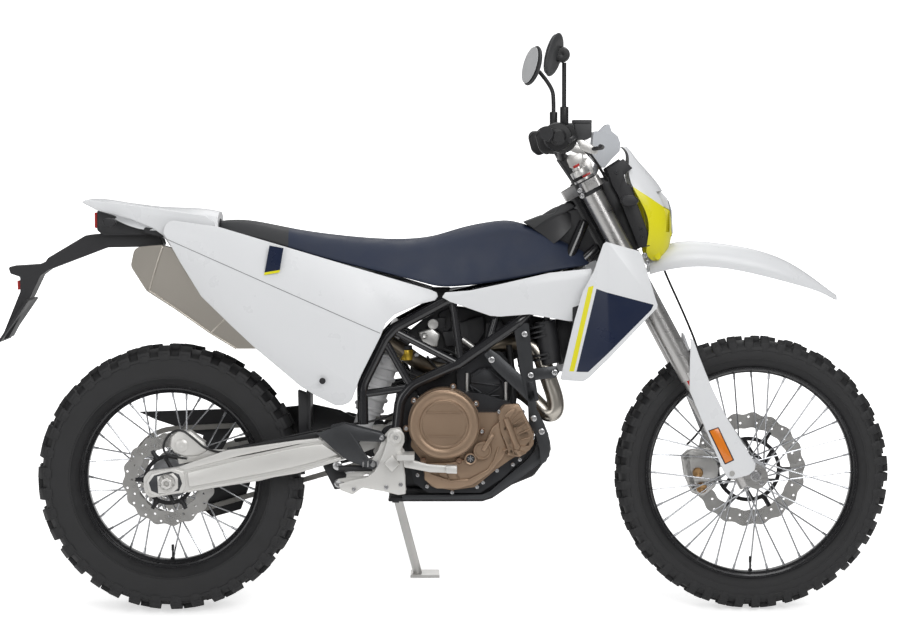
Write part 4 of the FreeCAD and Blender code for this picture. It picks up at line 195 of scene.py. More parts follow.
surface_texture = make_surface_texture()


def finish_of(name, colour, gloss, metal=0.0, grain=900, patch=18, mottle=0.12, relief=0.00003,
              stretch=(1, 1, 1), coat=0.0, dark=0.6):
    """A finish: its colour, its gloss as lowest and highest roughness, and its grain."""
    paint = bpy.data.materials.new(name)
    paint.use_nodes = True
    paint.diffuse_color = (*colour, 1)
    make = paint.node_tree.nodes
    join = paint.node_tree.links.new
    shader = make["Principled BSDF"]
    shader.inputs["Metallic"].default_value = metal
    shader.inputs["Coat Weight"].default_value = coat
    texture = make.new("ShaderNodeGroup")
    texture.node_tree = surface_texture
    texture.inputs["Grain"].default_value = grain
    texture.inputs["Patch"].default_value = patch
    texture.inputs["Mottle"].default_value = mottle
    texture.inputs["Gloss low"].default_value = gloss[0]
    texture.inputs["Gloss high"].default_value = gloss[1]
    texture.inputs["Relief"].default_value = relief
    texture.inputs["Stretch"].default_value = stretch
    blend = make.new("ShaderNodeMix")
    blend.data_type = "RGBA"
    blend.inputs["A"].default_value = (*colour, 1)
    blend.inputs["B"].default_value = (*(value * dark for value in colour), 1)
    join(texture.outputs["Tone"], blend.inputs["Factor"])
    join(blend.outputs["Result"], shader.inputs["Base Color"])
    join(texture.outputs["Roughness"], shader.inputs["Roughness"])
    join(texture.outputs["Normal"], shader.inputs["Normal"])
    return paint


def paint_nodes(paint, *names):
    """Gives CAD pieces their finish and smooth shading between their sharp edges."""
    clear_selection()
    for name in names:
        piece = nodes[name]
        piece.data.materials.clear()
        piece.data.materials.append(paint)
        piece.select_set(True)
    bpy.context.view_layer.objects.active = piece
    bpy.ops.object.shade_smooth_by_angle(angle=math.radians(32))
    clear_selection()


# Tyres: knobbly off-road rubber, 21 inch in front and 18 inch behind. Each carcass is spun from
# its moulded section, and its lugs are shaped once a side and copied round it.
MM = 0.001
WELD = 0.00001
FRONT_AXLE = Vector((1500, 0, 355)) * MM
REAR_AXLE = Vector((0, 0, 345)) * MM
rubber = finish_of("tyre_rubber", (0.016, 0.016, 0.017), (0.55, 0.75), grain=700, mottle=0.5,
                   relief=0.0001, dark=1.9)


def only(piece):
    """Makes one piece the selected and active one."""
    clear_selection()
    piece.select_set(True)
    bpy.context.view_layer.objects.active = piece


def settle(piece):
    """Puts a piece's place, turn and size into its mesh."""
    only(piece)
    bpy.ops.object.transform_apply(location=True, rotation=True, scale=True)
    return piece


def apply_all(piece):
    """Applies a piece's modifiers in their order."""
    only(piece)
    for modifier in list(piece.modifiers):
        bpy.ops.object.modifier_apply(modifier=modifier.name)


def heal(piece, weld=False):
    """Merges a piece's corners that lie together, if so told, and turns its faces outward."""
    only(piece)
    bpy.ops.object.mode_set(mode="EDIT")
    bpy.ops.mesh.select_all(action="SELECT")
    if weld:
        bpy.ops.mesh.remove_doubles(threshold=WELD)
    bpy.ops.mesh.normals_make_consistent(inside=False)
    bpy.ops.object.mode_set(mode="OBJECT")
    return piece


def soften(piece, width, segments=2, angle=35):
    """Rounds a piece's sharp edges by so many millimetres."""
    edge = piece.modifiers.new("edges", "BEVEL")
    edge.width = width * MM
    edge.segments = segments
    edge.limit_method = "ANGLE"
    edge.angle_limit = math.radians(angle)
    apply_all(piece)
    return piece


def joined(pieces):
    """Makes one piece of several."""
    clear_selection()
    for piece in pieces:
        piece.select_set(True)
    bpy.context.view_layer.objects.active = pieces[0]
    if len(pieces) > 1:
        bpy.ops.object.join()
    return bpy.context.view_layer.objects.active


def turned_ring(section, steps=96):
    """A ring spun about the axle's line from a closed section of (across, radius) corners."""
    clear_selection()
    bpy.ops.mesh.primitive_circle_add(vertices=len(section), radius=1)
    ring = bpy.context.object
    for corner, (across, radius) in zip(ring.data.vertices, section):
        corner.co = Vector((0, across, radius)) * MM
    bpy.ops.object.mode_set(mode="EDIT")
    bpy.ops.mesh.select_all(action="SELECT")
    bpy.ops.mesh.spin(steps=steps, angle=2 * math.pi, center=(0, 0, 0), axis=(0, 1, 0))
    bpy.ops.mesh.select_all(action="SELECT")
    bpy.ops.mesh.remove_doubles(threshold=WELD)
    bpy.ops.mesh.normals_make_consistent(inside=False)
    bpy.ops.object.mode_set(mode="OBJECT")
    return ring


def ring_copies(piece, count, lead=0):
    """Copies a piece evenly round the axle's line, into one mesh; lead is in degrees."""
    clear_selection()
    piece.rotation_euler = (0, math.radians(lead), 0)
    settle(piece)
    bpy.ops.object.empty_add(rotation=(0, 2 * math.pi / count, 0))
    turner = bpy.context.object
    copies = piece.modifiers.new("copies", "ARRAY")
    copies.use_relative_offset = False
    copies.use_object_offset = True
    copies.offset_object = turner
    copies.count = count
    apply_all(piece)
    bpy.data.objects.remove(turner)
    return piece


def finished(piece, name, body, slot, *paints, angle=35):
    """Leans a piece over with the frame and gives it its finish and its body; slot is not used."""
    piece.name = name
    piece.matrix_world = LEANED @ piece.matrix_basis
    settle(piece)
    for paint in paints:
        piece.data.materials.append(paint)
    bpy.ops.object.shade_smooth_by_angle(angle=math.radians(angle))
    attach(piece, body)
    return piece


def lug(across, along, base, top, draft):
    """One lug: its two places across, half its length, and its radius there, below and above."""
    clear_selection()
    bpy.ops.mesh.primitive_cube_add(size=2)
    block = bpy.context.object
    for corner in block.data.vertices:
        forward, aside, upward = corner.co
        level = top if upward > 0 else base
        pull = draft if upward > 0 else 0
        place = across[0] + pull if aside < 0 else across[1] - pull
        reach = level[0] if aside < 0 else level[1]
        corner.co = Vector((forward * (along - pull), place, reach)) * MM
    return soften(block, 1.4, 2, 20)


def knobbly_tyre(radius, half, seat, rows, long, centre_rows):
    """Carcass with moulded rings on its wall, and its lugs out to the full radius."""
    wall = [(0.56, seat), (0.66, seat + 4), (0.82, seat + 12), (0.9, seat + 20), (0.93, seat + 21),
            (0.93, seat + 24), (0.95, seat + 25), (0.985, seat + 38), (0.96, radius - 38),
            (0.99, radius - 36), (0.98, radius - 30), (0.93, radius - 27), (0.74, radius - 19),
            (0.5, radius - 14.5), (0.25, radius - 12.5), (0, radius - 12)]
    right = [(share * half, reach) for share, reach in wall]
    left = [(-share * half, reach) for share, reach in reversed(wall[:-1])]
    parts = [turned_ring(right + left, 120)]
    for side in (-1, 1):
        shoulder = sorted(((side * 0.56 * half, radius - 17, radius - 2.6),
                           (side * 0.98 * half, radius - 34, radius - 16)))
        block = lug((shoulder[0][0], shoulder[1][0]), long / 2, (shoulder[0][1], shoulder[1][1]),
                    (shoulder[0][2], shoulder[1][2]), 1.2)
        parts.append(ring_copies(block, rows, 90 / rows * side))
        skirt = sorted(((side * 0.86 * half, radius - 34, radius - 19),
                        (side * 1.0 * half, radius - 41, radius - 24)))
        tab = lug((skirt[0][0], skirt[1][0]), long * 0.34, (skirt[0][1], skirt[1][1]),
                  (skirt[0][2], skirt[1][2]), 0.8)
        parts.append(ring_copies(tab, rows, 90 / rows * side))
        inner = sorted(((side * 0.07 * half, radius - 14), (side * 0.42 * half, radius - 15)))
        pad = lug((inner[0][0], inner[1][0]), long * 0.48, (inner[0][1], inner[1][1]),
                  (radius - 0.6, radius - 1.4) if side > 0 else (radius - 1.4, radius - 0.6), 1.2)
        parts.append(ring_copies(pad, centre_rows, 180 / centre_rows * (0.5 + 0.3 * side)))
    return joined(parts)


front_tyre = knobbly_tyre(355, 45, 275, 50, 24, 25)
front_tyre.location = FRONT_AXLE
finished(front_tyre, "front_tyre_rubber", "front_wheel", "tyre", rubber)
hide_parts("front_tyre")
rear_tyre = knobbly_tyre(345, 69, 236, 38, 32, 19)
rear_tyre.location = REAR_AXLE
finished(rear_tyre, "rear_tyre_rubber", "rear_wheel", "tyre", rubber)
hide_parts("rear_tyre")


# Wheels: black anodised rims, polished steel spokes laced in crossing pairs with a nipple each,
# and machined hubs. The spokes of one pattern are modelled once and copied round the hub.
rim_black = finish_of("rim_black", (0.022, 0.022, 0.024), (0.2, 0.32), metal=0.4, coat=0.4)
spoke_steel = finish_of("spoke_steel", (0.5, 0.51, 0.53), (0.2, 0.3), metal=1.0)
hub_silver = finish_of("hub_silver", (0.62, 0.63, 0.65), (0.28, 0.4), metal=0.9, relief=0.00005)


def round_bar(start, end, radius, sides=16):
    """A bar between two points of the upright motorcycle, in millimetres."""
    first, last = Vector(start) * MM, Vector(end) * MM
    run = last - first
    clear_selection()
    bpy.ops.mesh.primitive_cylinder_add(vertices=sides, radius=radius * MM, depth=run.length,
                                        location=(first + last) / 2,
                                        rotation=run.to_track_quat("Z", "Y").to_euler())
    return settle(bpy.context.object)


SPOKES = 36


def laced_spokes(flange, flange_y, rim, swing):
    """Four spokes, two from each flange, copied round the hub."""
    steels = []
    nipples = []
    for index in range(4):
        side = 1 if index % 2 else -1
        lead = 1 if index // 2 else -1
        outer = 2 * math.pi * index / SPOKES
        inner = outer + lead * math.radians(swing)
        foot = Vector((flange * math.cos(inner), side * flange_y, flange * math.sin(inner)))
        tip = Vector((rim * math.cos(outer), side * 5, rim * math.sin(outer)))
        steels.append(round_bar(foot, tip, 2.1, 8))
        run = (tip - foot).normalized()
        nipples.append(round_bar(tip - run * 17, tip + run * 3, 3.1, 8))
        nipples.append(round_bar(foot - Vector((0, side * 5, 0)), foot + Vector((0, side * 5, 0)),
                                 3, 8))
    return ring_copies(joined(steels + nipples), SPOKES // 4)


def valve(rim):
    """Valve stem with its nut and cap, under the axle."""
    return joined([round_bar((0, 0, -rim), (0, 0, 34 - rim), 2.6, 12),
                   round_bar((0, 0, -rim), (0, 0, 5 - rim), 6, 6),
                   round_bar((0, 0, 22 - rim), (0, 0, 38 - rim), 3.6, 12)])


def wheel(name, body, place, rim, seat, rim_half, hub, flange, flange_y, swing):
    """A rim with its valve, the laced spokes, and a hub with its flanges and their ribs."""
    well = rim_half * 0.5
    section = [(-rim_half, seat), (-rim_half, seat - 3), (-rim_half + 4, seat - 5),
               (-rim_half + 5, seat - 9), (-well - 4, seat - 11), (-well, rim + 1.5), (-well + 3, rim),
               (well - 3, rim), (well, rim + 1.5), (well + 4, seat - 11), (rim_half - 5, seat - 9),
               (rim_half - 4, seat - 5), (rim_half, seat - 3), (rim_half, seat)]
    ring = turned_ring(section, 120)
    stem = valve(rim)
    black = joined([ring, stem])
    black.location = place
    finished(black, name + "_rim", body, "black_alloy", rim_black)
    steel = laced_spokes(flange, flange_y, rim + 2, swing)
    steel.location = place
    finished(steel, name + "_spokes", body, "black_alloy", spoke_steel)
    low, high = hub
    shell = turned_ring([(low, 14), (low, 21), (low + 6, 24), (-flange_y - 6, 26),
                         (-flange_y - 5, flange + 6), (-flange_y + 3, flange + 6),
                         (-flange_y + 6, 23), (-8, 22), (-7, 24), (7, 24), (8, 22),
                         (flange_y - 6, 23), (flange_y - 3, flange + 6), (flange_y + 5, flange + 6),
                         (flange_y + 6, 26), (high - 6, 24), (high, 21), (high, 14)], 64)
    ribs = []
    for side in (-1, 1):
        rib = round_bar((0, side * (flange_y + 1), 20), (0, side * (flange_y - 12), flange + 2), 3, 8)
        ribs.append(ring_copies(rib, 18))
    shell = joined([shell] + ribs)
    shell.location = place
    finished(shell, name + "_hub", body, "black_alloy", hub_silver)
    return black


front_rim = wheel("front_wheel", "front_wheel", FRONT_AXLE, 259, 275, 28, (-62, 55), 31, 37, 58)
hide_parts("front_wheel_laced")
rear_rim = wheel("rear_wheel", "rear_wheel", REAR_AXLE, 217, 236, 36, (-85, 92), 46, 47, 58)
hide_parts("rear_wheel_laced")


# Brake discs: ground steel rings with a wavy edge and drilled holes, riveted to black carriers
# with six arms and bolted to the hubs. The rear sprocket and the axles are steel as well.
disc_steel = finish_of("disc_steel", (0.66, 0.65, 0.63), (0.24, 0.36), metal=1.0, grain=500,
                       relief=0.00002)
carrier_black = finish_of("carrier_black", (0.03, 0.03, 0.032), (0.3, 0.42), metal=0.6)


def wavy_ring(outer, inner, wave, lobes, thick, steps):
    """A flat ring whose outer and inner edges follow the same waves."""
    clear_selection()
    bpy.ops.mesh.primitive_grid_add(x_subdivisions=steps, y_subdivisions=4)
    ring = bpy.context.object
    half = thick / 2
    rows = ((1, -half), (0, -half), (0, half), (1, half), (1, -half))
    for index, corner in enumerate(ring.data.vertices):
        at_edge, across = rows[index // (steps + 1)]
        turn = 2 * math.pi * (index % (steps + 1)) / steps
        ripple = math.sin(turn * lobes)
        reach = (outer - wave + wave * ripple) if at_edge else (inner + wave * 0.5 * ripple)
        corner.co = Vector((reach * math.cos(turn), across, reach * math.sin(turn))) * MM
    return heal(ring, weld=True)


def drilled(ring, holes):
    """Cuts a set of holes right through a ring."""
    cut = ring.modifiers.new("holes", "BOOLEAN")
    cut.object = holes
    cut.solver = "EXACT"
    apply_all(ring)
    bpy.data.objects.remove(holes)
    return ring


def disc_holes(inner, outer, lobes, radius):
    """Two rings of round bars, so far from the centre, that stand where a disc has its holes."""
    first = round_bar((inner, -8, 0), (inner, 8, 0), radius, 10)
    second = round_bar((outer, -8, 0), (outer, 8, 0), radius, 10)
    second.rotation_euler = (0, math.pi / lobes, 0)
    settle(second)
    return ring_copies(joined([first, second]), lobes)


def brake_disc(name, body, place, outer, inner, lobes, carrier, arms):
    """A wavy steel disc on its black carrier, with the bolts that hold it to the hub."""
    steel = drilled(wavy_ring(outer, inner, 3.2, lobes, 4.5, lobes * 8),
                    disc_holes(inner + (outer - inner) * 0.34, outer - (outer - inner) * 0.3, lobes,
                               3.1))
    steel.location = place
    finished(steel, name, body, "disc_steel", disc_steel)
    hub = turned_ring([(-3, 22), (3, 22), (3, carrier - 34), (-3, carrier - 34)], 48)
    rim = turned_ring([(-3, carrier - 5), (3, carrier - 5), (3, carrier + 5), (-3, carrier + 5)], 72)
    blade = ring_copies(round_bar((10, 0, carrier - 38), (-12, 0, carrier), 5, 8), arms)
    button = ring_copies(round_bar((0, -5, carrier + 4), (0, 5, carrier + 4), 8, 16), arms, 180 / arms)
    tab = ring_copies(round_bar((0, 0, carrier), (0, 0, inner + 4), 6, 8), arms, 180 / arms)
    black = joined([hub, rim, blade, button, tab])
    black.location = place
    finished(black, name + "_carrier", body, "disc_steel", carrier_black)
    bolt = ring_copies(round_bar((0, -6, 27), (0, 6, 27), 4.5, 6), arms)
    bolt.location = place
    finished(bolt, name + "_bolts", body, "disc_steel", spoke_steel)
    return steel


front_disc = brake_disc("front_disc", "front_wheel", FRONT_AXLE + Vector((0, 0.058, 0)),
                        150, 108, 18, 80, 6)
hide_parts("front_brake_disc")
rear_disc = brake_disc("rear_disc", "rear_wheel", REAR_AXLE + Vector((0, -0.088, 0)), 120, 82, 16,
                       60, 6)
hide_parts("rear_brake_disc")
paint_nodes(disc_steel, "rear_sprocket", "front_axle", "rear_axle")


# Side panels: white injection moulded plastic, 4 mm thick, with flat facets that meet at
# creases. They hang on studs over the rear frame, and carry a thin seam and a navy mark.
WIDTH_OF_PIXEL = 2.583
CAMERA_REACH = 7200
AIM_COLUMN, AIM_ROW = 440, 165
AIM_ALONG, AIM_UP = 268.7, 443.9
SCREW_HEAD = 3
white_plastic = finish_of("white_plastic", (0.74, 0.75, 0.765), (0.26, 0.34), grain=260,
                          relief=0.00001, mottle=0.02, dark=0.97)
seam_grey = finish_of("seam_grey", (0.2, 0.2, 0.21), (0.5, 0.6))
black_plastic = finish_of("black_plastic", (0.016, 0.016, 0.018), (0.42, 0.58), grain=1100,
                          relief=0.00008, mottle=0.3, dark=1.6)
stripe_yellow = finish_of("stripe_yellow", (0.78, 0.72, 0.01), (0.25, 0.35), mottle=0.03)
stripe_navy = finish_of("stripe_navy", (0.005, 0.012, 0.04), (0.25, 0.35), mottle=0.1)
bolt_steel = finish_of("bolt_steel", (0.66, 0.66, 0.67), (0.2, 0.34), metal=1.0)


def seen(column, row, aside):
    """The place, in millimetres, that the photograph shows there, so far right of the middle."""
    shrink = 1 - aside / CAMERA_REACH
    return Vector((WIDTH_OF_PIXEL * ((column - AIM_COLUMN) * shrink + AIM_ALONG), -aside,
                   WIDTH_OF_PIXEL * (AIM_UP - (row - AIM_ROW) * shrink)))


def bent(plan, place):
    """A panel's distance from the middle there; plan runs from rear to front, seen from above."""
    for (back, low), (front, high) in zip(plan, plan[1:]):
        if place <= front:
            break
    return low + (high - low) * (place - back) / (front - back)


def beyond(line, along, up):
    """How far above its crease a point lies; below it, how far is negative."""
    (x, z), (far_x, far_z) = line
    reach = math.hypot(far_x - x, far_z - z)
    return ((far_x - x) * (up - z) - (far_z - z) * (along - x)) / reach


def faceted_sheet(outline, plan, creases, proud=0, thick=3, edge=1.2):
    """A panel from its outline (x, z); each crease has its line, and its falls above and below."""
    clear_selection()
    bpy.ops.mesh.primitive_circle_add(vertices=len(outline), radius=1, fill_type="NGON")
    sheet = bpy.context.object
    for corner, (along, up) in zip(sheet.data.vertices, outline):
        corner.co = Vector((along, 0, up)) * MM
    bpy.ops.object.mode_set(mode="EDIT")
    cuts = [((place, 0), (1, 0)) for place, reach in plan[1:-1]]
    for line, above, below in creases:
        (x, z), (far_x, far_z) = line
        cuts.append(((x, z), (far_z - z, x - far_x)))
    for (x, z), (across, up) in cuts:
        bpy.ops.mesh.select_all(action="SELECT")
        bpy.ops.mesh.bisect(plane_co=(x * MM, 0, z * MM), plane_no=Vector((across, 0, up)).normalized())
    bpy.ops.object.mode_set(mode="OBJECT")
    for corner in sheet.data.vertices:
        along, up = corner.co.x / MM, corner.co.z / MM
        reach = bent(plan, along) + proud
        for line, above, below in creases:
            height = beyond(line, along, up)
            reach -= height * above if height > 0 else -height * below
        corner.co.y = -reach * MM
    if sheet.data.polygons[0].normal.y > 0:
        sheet.data.flip_normals()
    skin = sheet.modifiers.new("skin", "SOLIDIFY")
    skin.thickness = thick * MM
    skin.offset = -1
    apply_all(sheet)
    heal(sheet)
    return soften(sheet, edge, 3, 40) if edge else sheet


def mirrored(piece):
    """A copy of a piece on the other side of the motorcycle."""
    only(piece)
    bpy.ops.object.duplicate()
    twin = bpy.context.object
    twin.scale = (1, -1, 1)
    return heal(settle(twin))


def on_both_sides(piece, name, body, slot, *paints, angle=28):
    """Finishes a right-hand piece and its twin on the left."""
    twin = mirrored(piece)
    return (finished(piece, name + "_right", body, slot, *paints, angle=angle),
            finished(twin, name + "_left", body, slot, *paints, angle=angle))


def spots(aside, *pixels):
    """Outline points (x, z) of a part that the photograph shows at these pixels."""
    return [(seen(column, row, aside).x, seen(column, row, aside).z) for column, row in pixels]


def ribbon(line, wide):
    """The outline of a narrow strip along a line of (x, z) points."""
    (x, z), (far_x, far_z) = line
    run = Vector((far_x - x, far_z - z)).normalized() * wide / 2
    return [(x - run.y, z + run.x), (x + run.y, z - run.x), (far_x + run.y, far_z - run.x),
            (far_x - run.y, far_z + run.x)]


def screw_at(place, radius):
    """A socket screw in a panel, seen from the right."""
    face = (place.x, place.y - SCREW_HEAD, place.z)
    head = round_bar(place, face, radius, 20)
    socket = round_bar(face, (place.x, place.y - SCREW_HEAD - 0.6, place.z), radius * 0.5, 6)
    return joined([head, socket])


SIDE_PLAN = ((-20, 130), (235, 147), (479, 158), (700, 140))
SIDE_SEAM = ((-8, 966), (542, 724))
SIDE_FOLD = ((60, 880), (440, 617))
side_creases = ((SIDE_SEAM, 0.16, 0), (SIDE_FOLD, 0, 0.3))
side_outline = ((-8, 977), (-4, 996), (6, 1006), (18, 1009), (133, 993), (671, 833), (686, 826),
                (689, 816), (681, 806), (643, 797), (580, 771), (557, 750), (543, 715), (492, 614),
                (471, 556), (462, 546), (448, 540), (429, 538), (378, 563), (340, 586), (226, 682),
                (163, 741), (87, 816), (37, 900), (6, 955))
side_skin = faceted_sheet(side_outline, SIDE_PLAN, side_creases, 0.5, 4, 2.2)
side_right, side_left = on_both_sides(side_skin, "side_panel_skin", "chassis", "white_plastic",
                                      white_plastic)
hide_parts("side_panel_right")
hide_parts("side_panel_left")
side_groove = faceted_sheet(ribbon(SIDE_SEAM, 1.6), SIDE_PLAN, (), 0.9, 1, 0)
on_both_sides(side_groove, "side_panel_seam", "chassis", "white_plastic", seam_grey)
side_mark = faceted_sheet(spots(130, (270, 244), (284, 246.6), (280.2, 268.4), (265, 270.9)),
                          SIDE_PLAN, (), 1.4, 1, 0)
on_both_sides(side_mark, "side_panel_mark", "chassis", "seat_navy", stripe_navy)
side_mark_edge = faceted_sheet(spots(130, (265, 270.9), (280.2, 268.4), (279.8, 270.8),
                                     (264.4, 273.6)), SIDE_PLAN, (), 1.4, 1, 0)
on_both_sides(side_mark_edge, "side_panel_mark_edge", "chassis", "white_plastic", stripe_yellow)
side_screw = screw_at(Vector((396, -152, 603)), 8)
on_both_sides(side_screw, "side_panel_screw", "chassis", "black_plastic", black_plastic)


# Tank panels: a slim white moulding on each side below the seat's nose, folded along one
# crease, with a thin yellow line where it meets the shroud.
TANK_PLAN = ((690, 139), (897, 146), (1100, 150))
TANK_FOLD = ((700, 812), (1050, 862))
TANK_TIP = ((960, 750), (1060, 830))
tank_outline = ((699, 815), (707, 827), (770, 832), (846, 848), (972, 877), (1078, 888),
                (1079, 850), (1063, 800), (1040, 752), (1022, 753), (922, 771), (846, 765),
                (821, 767), (719, 803))
tank_creases = ((TANK_FOLD, 0.22, 0.1), (TANK_TIP, 0, 0.12))
tank_skin = faceted_sheet(tank_outline, TANK_PLAN, tank_creases, 0, 3, 1.6)
tank_right = on_both_sides(tank_skin, "tank_panel_skin", "chassis", "white_plastic", white_plastic)[0]
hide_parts("tank_panels")
tank_line = faceted_sheet(ribbon(((1051, 770), (1073, 838)), 3.5), TANK_PLAN,
                          tank_creases, 0.6, 1, 0)
on_both_sides(tank_line, "tank_panel_line", "chassis", "white_plastic", stripe_yellow)


# Radiator shrouds: large white mouldings that guide air to the radiators, each with a yellow
# stripe and a navy field printed on its lower facet.
SHROUD_PLAN = ((990, 154), (1121, 200), (1250, 188))
SHROUD_FRONT = ((1111, 960), (1240, 790))
SHROUD_FOOT = ((1000, 640), (1244, 700))
shroud_creases = ((SHROUD_FRONT, 0.3, 0), (SHROUD_FOOT, 0, 0.2))
shroud_outline = ((1104, 951), (1111, 957), (1196, 933), (1204, 923), (1240, 806), (1243, 799),
                  (1242, 790), (1071, 612), (1060, 604), (1053, 602), (1003, 604), (998, 608),
                  (1000, 616), (1033, 757), (1053, 828), (1081, 883))
shroud_skin = faceted_sheet(shroud_outline, SHROUD_PLAN, shroud_creases, 0, 3, 1.8)
shroud_right, shroud_left = on_both_sides(shroud_skin, "shroud_skin", "chassis", "white_plastic",
                                          white_plastic)
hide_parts("radiator_shroud_right")
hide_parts("radiator_shroud_left")
shroud_stripe = faceted_sheet(((1068, 842), (1081, 846), (1033, 628), (1021, 628)), SHROUD_PLAN,
                              shroud_creases, 0.5, 1, 0)
on_both_sides(shroud_stripe, "shroud_stripe", "chassis", "white_plastic", stripe_yellow)
shroud_field = faceted_sheet(((1088, 838), (1111, 830), (1232, 798), (1226, 785), (1068, 627),
                              (1039, 627)), SHROUD_PLAN, shroud_creases, 0.5, 1, 0)
on_both_sides(shroud_field, "shroud_field", "chassis", "seat_navy", stripe_navy)


# Seat: one foam pad on a plastic base, covered in navy vinyl with a grey rear part. Its cross
# sections run from the rear to the nose: place, foot, crown, half width at the foot and above.
SEAM_X = 0.312
seat_navy = finish_of("seat_navy", (0.011, 0.019, 0.045), (0.5, 0.66), grain=900,
                      relief=0.00025, mottle=0.25, dark=1.5)
seat_grey = finish_of("seat_grey", (0.03, 0.031, 0.034), (0.55, 0.7), grain=900, relief=0.0003,
                      mottle=0.3, dark=1.5)
SEAT_STATIONS = ((117, 986, 1006, 58, 44), (166, 972, 1010, 78, 66), (212, 966, 1008, 84, 70),
                 (296, 942, 990, 100, 84), (350, 926, 980, 112, 94), (440, 900, 968, 122, 102),
                 (560, 874, 958, 129, 108), (640, 854, 961, 129, 100), (690, 838, 970, 128, 92),
                 (745, 841, 989, 119, 82), (800, 846, 1001, 112, 74), (850, 854, 1008, 106, 66),
                 (881, 859, 1008, 104, 64), (940, 870, 990, 100, 61), (1000, 882, 962, 95, 60),
                 (1045, 888, 940, 82, 54), (1083, 893, 920, 66, 45))


def seat_ring(low, high, half_low, half_high):
    """One cross section of the seat, from its foot on one side over its crown to the other."""
    crown = (high - low) * 0.35
    right = [(0.0, low), (half_low * 0.7, low), (half_low - 3, low), (half_low, low + 4),
             (half_low * 0.75 + half_high * 0.25, low + (high - crown - low) * 0.35),
             (half_low * 0.3 + half_high * 0.7, low + (high - crown - low) * 0.8),
             (half_high * 0.93, high - crown * 0.62), (half_high * 0.8, high - crown * 0.34),
             (half_high * 0.55, high - crown * 0.13), (half_high * 0.28, high - crown * 0.03),
             (0, high)]
    return right + [(-across, up) for across, up in reversed(right[1:-1])]


def skinned(stations, ring_of):
    """A closed body over cross sections that run from rear to front."""
    rings = [ring_of(*station[1:]) for station in stations]
    count = len(rings[0])
    clear_selection()
    bpy.ops.mesh.primitive_grid_add(x_subdivisions=count, y_subdivisions=len(rings) - 1)
    body = bpy.context.object
    for index, corner in enumerate(body.data.vertices):
        row, column = divmod(index, count + 1)
        across, up = rings[row][column % count]
        corner.co = Vector((stations[row][0], -across, up)) * MM
    only(body)
    bpy.ops.object.mode_set(mode="EDIT")
    bpy.ops.mesh.select_all(action="SELECT")
    bpy.ops.mesh.remove_doubles(threshold=WELD)
    bpy.ops.mesh.select_all(action="DESELECT")
    bpy.ops.mesh.select_mode(type="EDGE")
    bpy.ops.mesh.select_non_manifold()
    bpy.ops.mesh.fill_holes(sides=0)
    bpy.ops.mesh.select_mode(type="VERT")
    bpy.ops.mesh.select_all(action="SELECT")
    bpy.ops.mesh.normals_make_consistent(inside=False)
    bpy.ops.object.mode_set(mode="OBJECT")
    return body


seat = skinned(SEAT_STATIONS, seat_ring)
round_off = seat.modifiers.new("round", "SUBSURF")
round_off.levels = 2
apply_all(seat)
seat_body = finished(seat, "seat_pad", "chassis", "seat_navy", seat_navy, seat_grey, angle=60)
for face in seat_body.data.polygons:
    face.material_index = 1 if face.center.x < SEAM_X + LEANED.translation.x else 0
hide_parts("seat")


# Clutch cover: a round bronze painted magnesium casting with a machined ring, a sunk face with
# two bars, and screws in bosses round its rim. It is bolted to the engine's dark cases.
bronze_casting = finish_of("bronze_casting", (0.37, 0.26, 0.18), (0.3, 0.42), metal=0.7,
                           grain=650, relief=0.0001, mottle=0.2)
# A darker copy of the cover's bronze: painted shade, for the bosses round the cover's rim.
bronze_painted_shade = finish_of("bronze_painted_shade", (0.24, 0.15, 0.1), (0.36, 0.5), metal=0.6, grain=650,
                         relief=0.0001, mottle=0.2)
# Dark grey of the steel plates, brackets and bolts; on the swingarm's axle slot it is painted shade.
grey_plate_and_recess_shade = finish_of("grey_plate_and_recess_shade", (0.06, 0.062, 0.066), (0.3, 0.42), metal=0.6)
dark_casting = finish_of("dark_casting", (0.045, 0.046, 0.05), (0.3, 0.45), metal=0.6, grain=600,
                         relief=0.00012, mottle=0.3)
satin_silver = finish_of("satin_silver", (0.74, 0.73, 0.71), (0.3, 0.42), metal=0.8, grain=500,
                         relief=0.00004)
paint_nodes(bronze_casting, "clutch_cover", "right_engine_cover", "left_engine_cover")
paint_nodes(dark_casting, "crankcase", "cylinder_and_head")


def turned_face(place, section, steps=72):
    """A round part on the right of the motorcycle: (how far out, radius) corners round a centre."""
    ring = turned_ring([(-out, radius) for out, radius in section], steps)
    ring.location = Vector(place) * MM
    return settle(ring)


def slab(outline, low, high, edge=1.5, segments=2):
    """A flat part between two distances to the right, from its outline of (x, z) points."""
    clear_selection()
    bpy.ops.mesh.primitive_circle_add(vertices=len(outline), radius=1, fill_type="NGON")
    part = bpy.context.object
    for corner, (along, up) in zip(part.data.vertices, outline):
        corner.co = Vector((along, -low, up)) * MM
    bpy.ops.object.mode_set(mode="EDIT")
    bpy.ops.mesh.select_all(action="SELECT")
    bpy.ops.mesh.extrude_region_move(TRANSFORM_OT_translate={"value": (0, (low - high) * MM, 0)})
    bpy.ops.mesh.select_all(action="SELECT")
    bpy.ops.mesh.normals_make_consistent(inside=False)
    bpy.ops.object.mode_set(mode="OBJECT")
    return soften(part, edge, segments, 30) if edge else part


def cap_screws(aside, out, radius, *pixels):
    """Socket screws with washers, their heads so far out."""
    heads = []
    for column, row in pixels:
        foot = seen(column, row, aside)
        heads.append(turned_face(foot, ((-6, radius * 0.45), (out - 1.5, radius * 0.45),
                                        (out, radius * 0.55), (out, radius * 0.8),
                                        (out - 1, radius), (-6, radius)), 16))
        heads.append(round_bar(foot + Vector((0, 3, 0)), foot - Vector((0, out - 3, 0)), radius * 0.5,
                               6))
    return joined(heads)


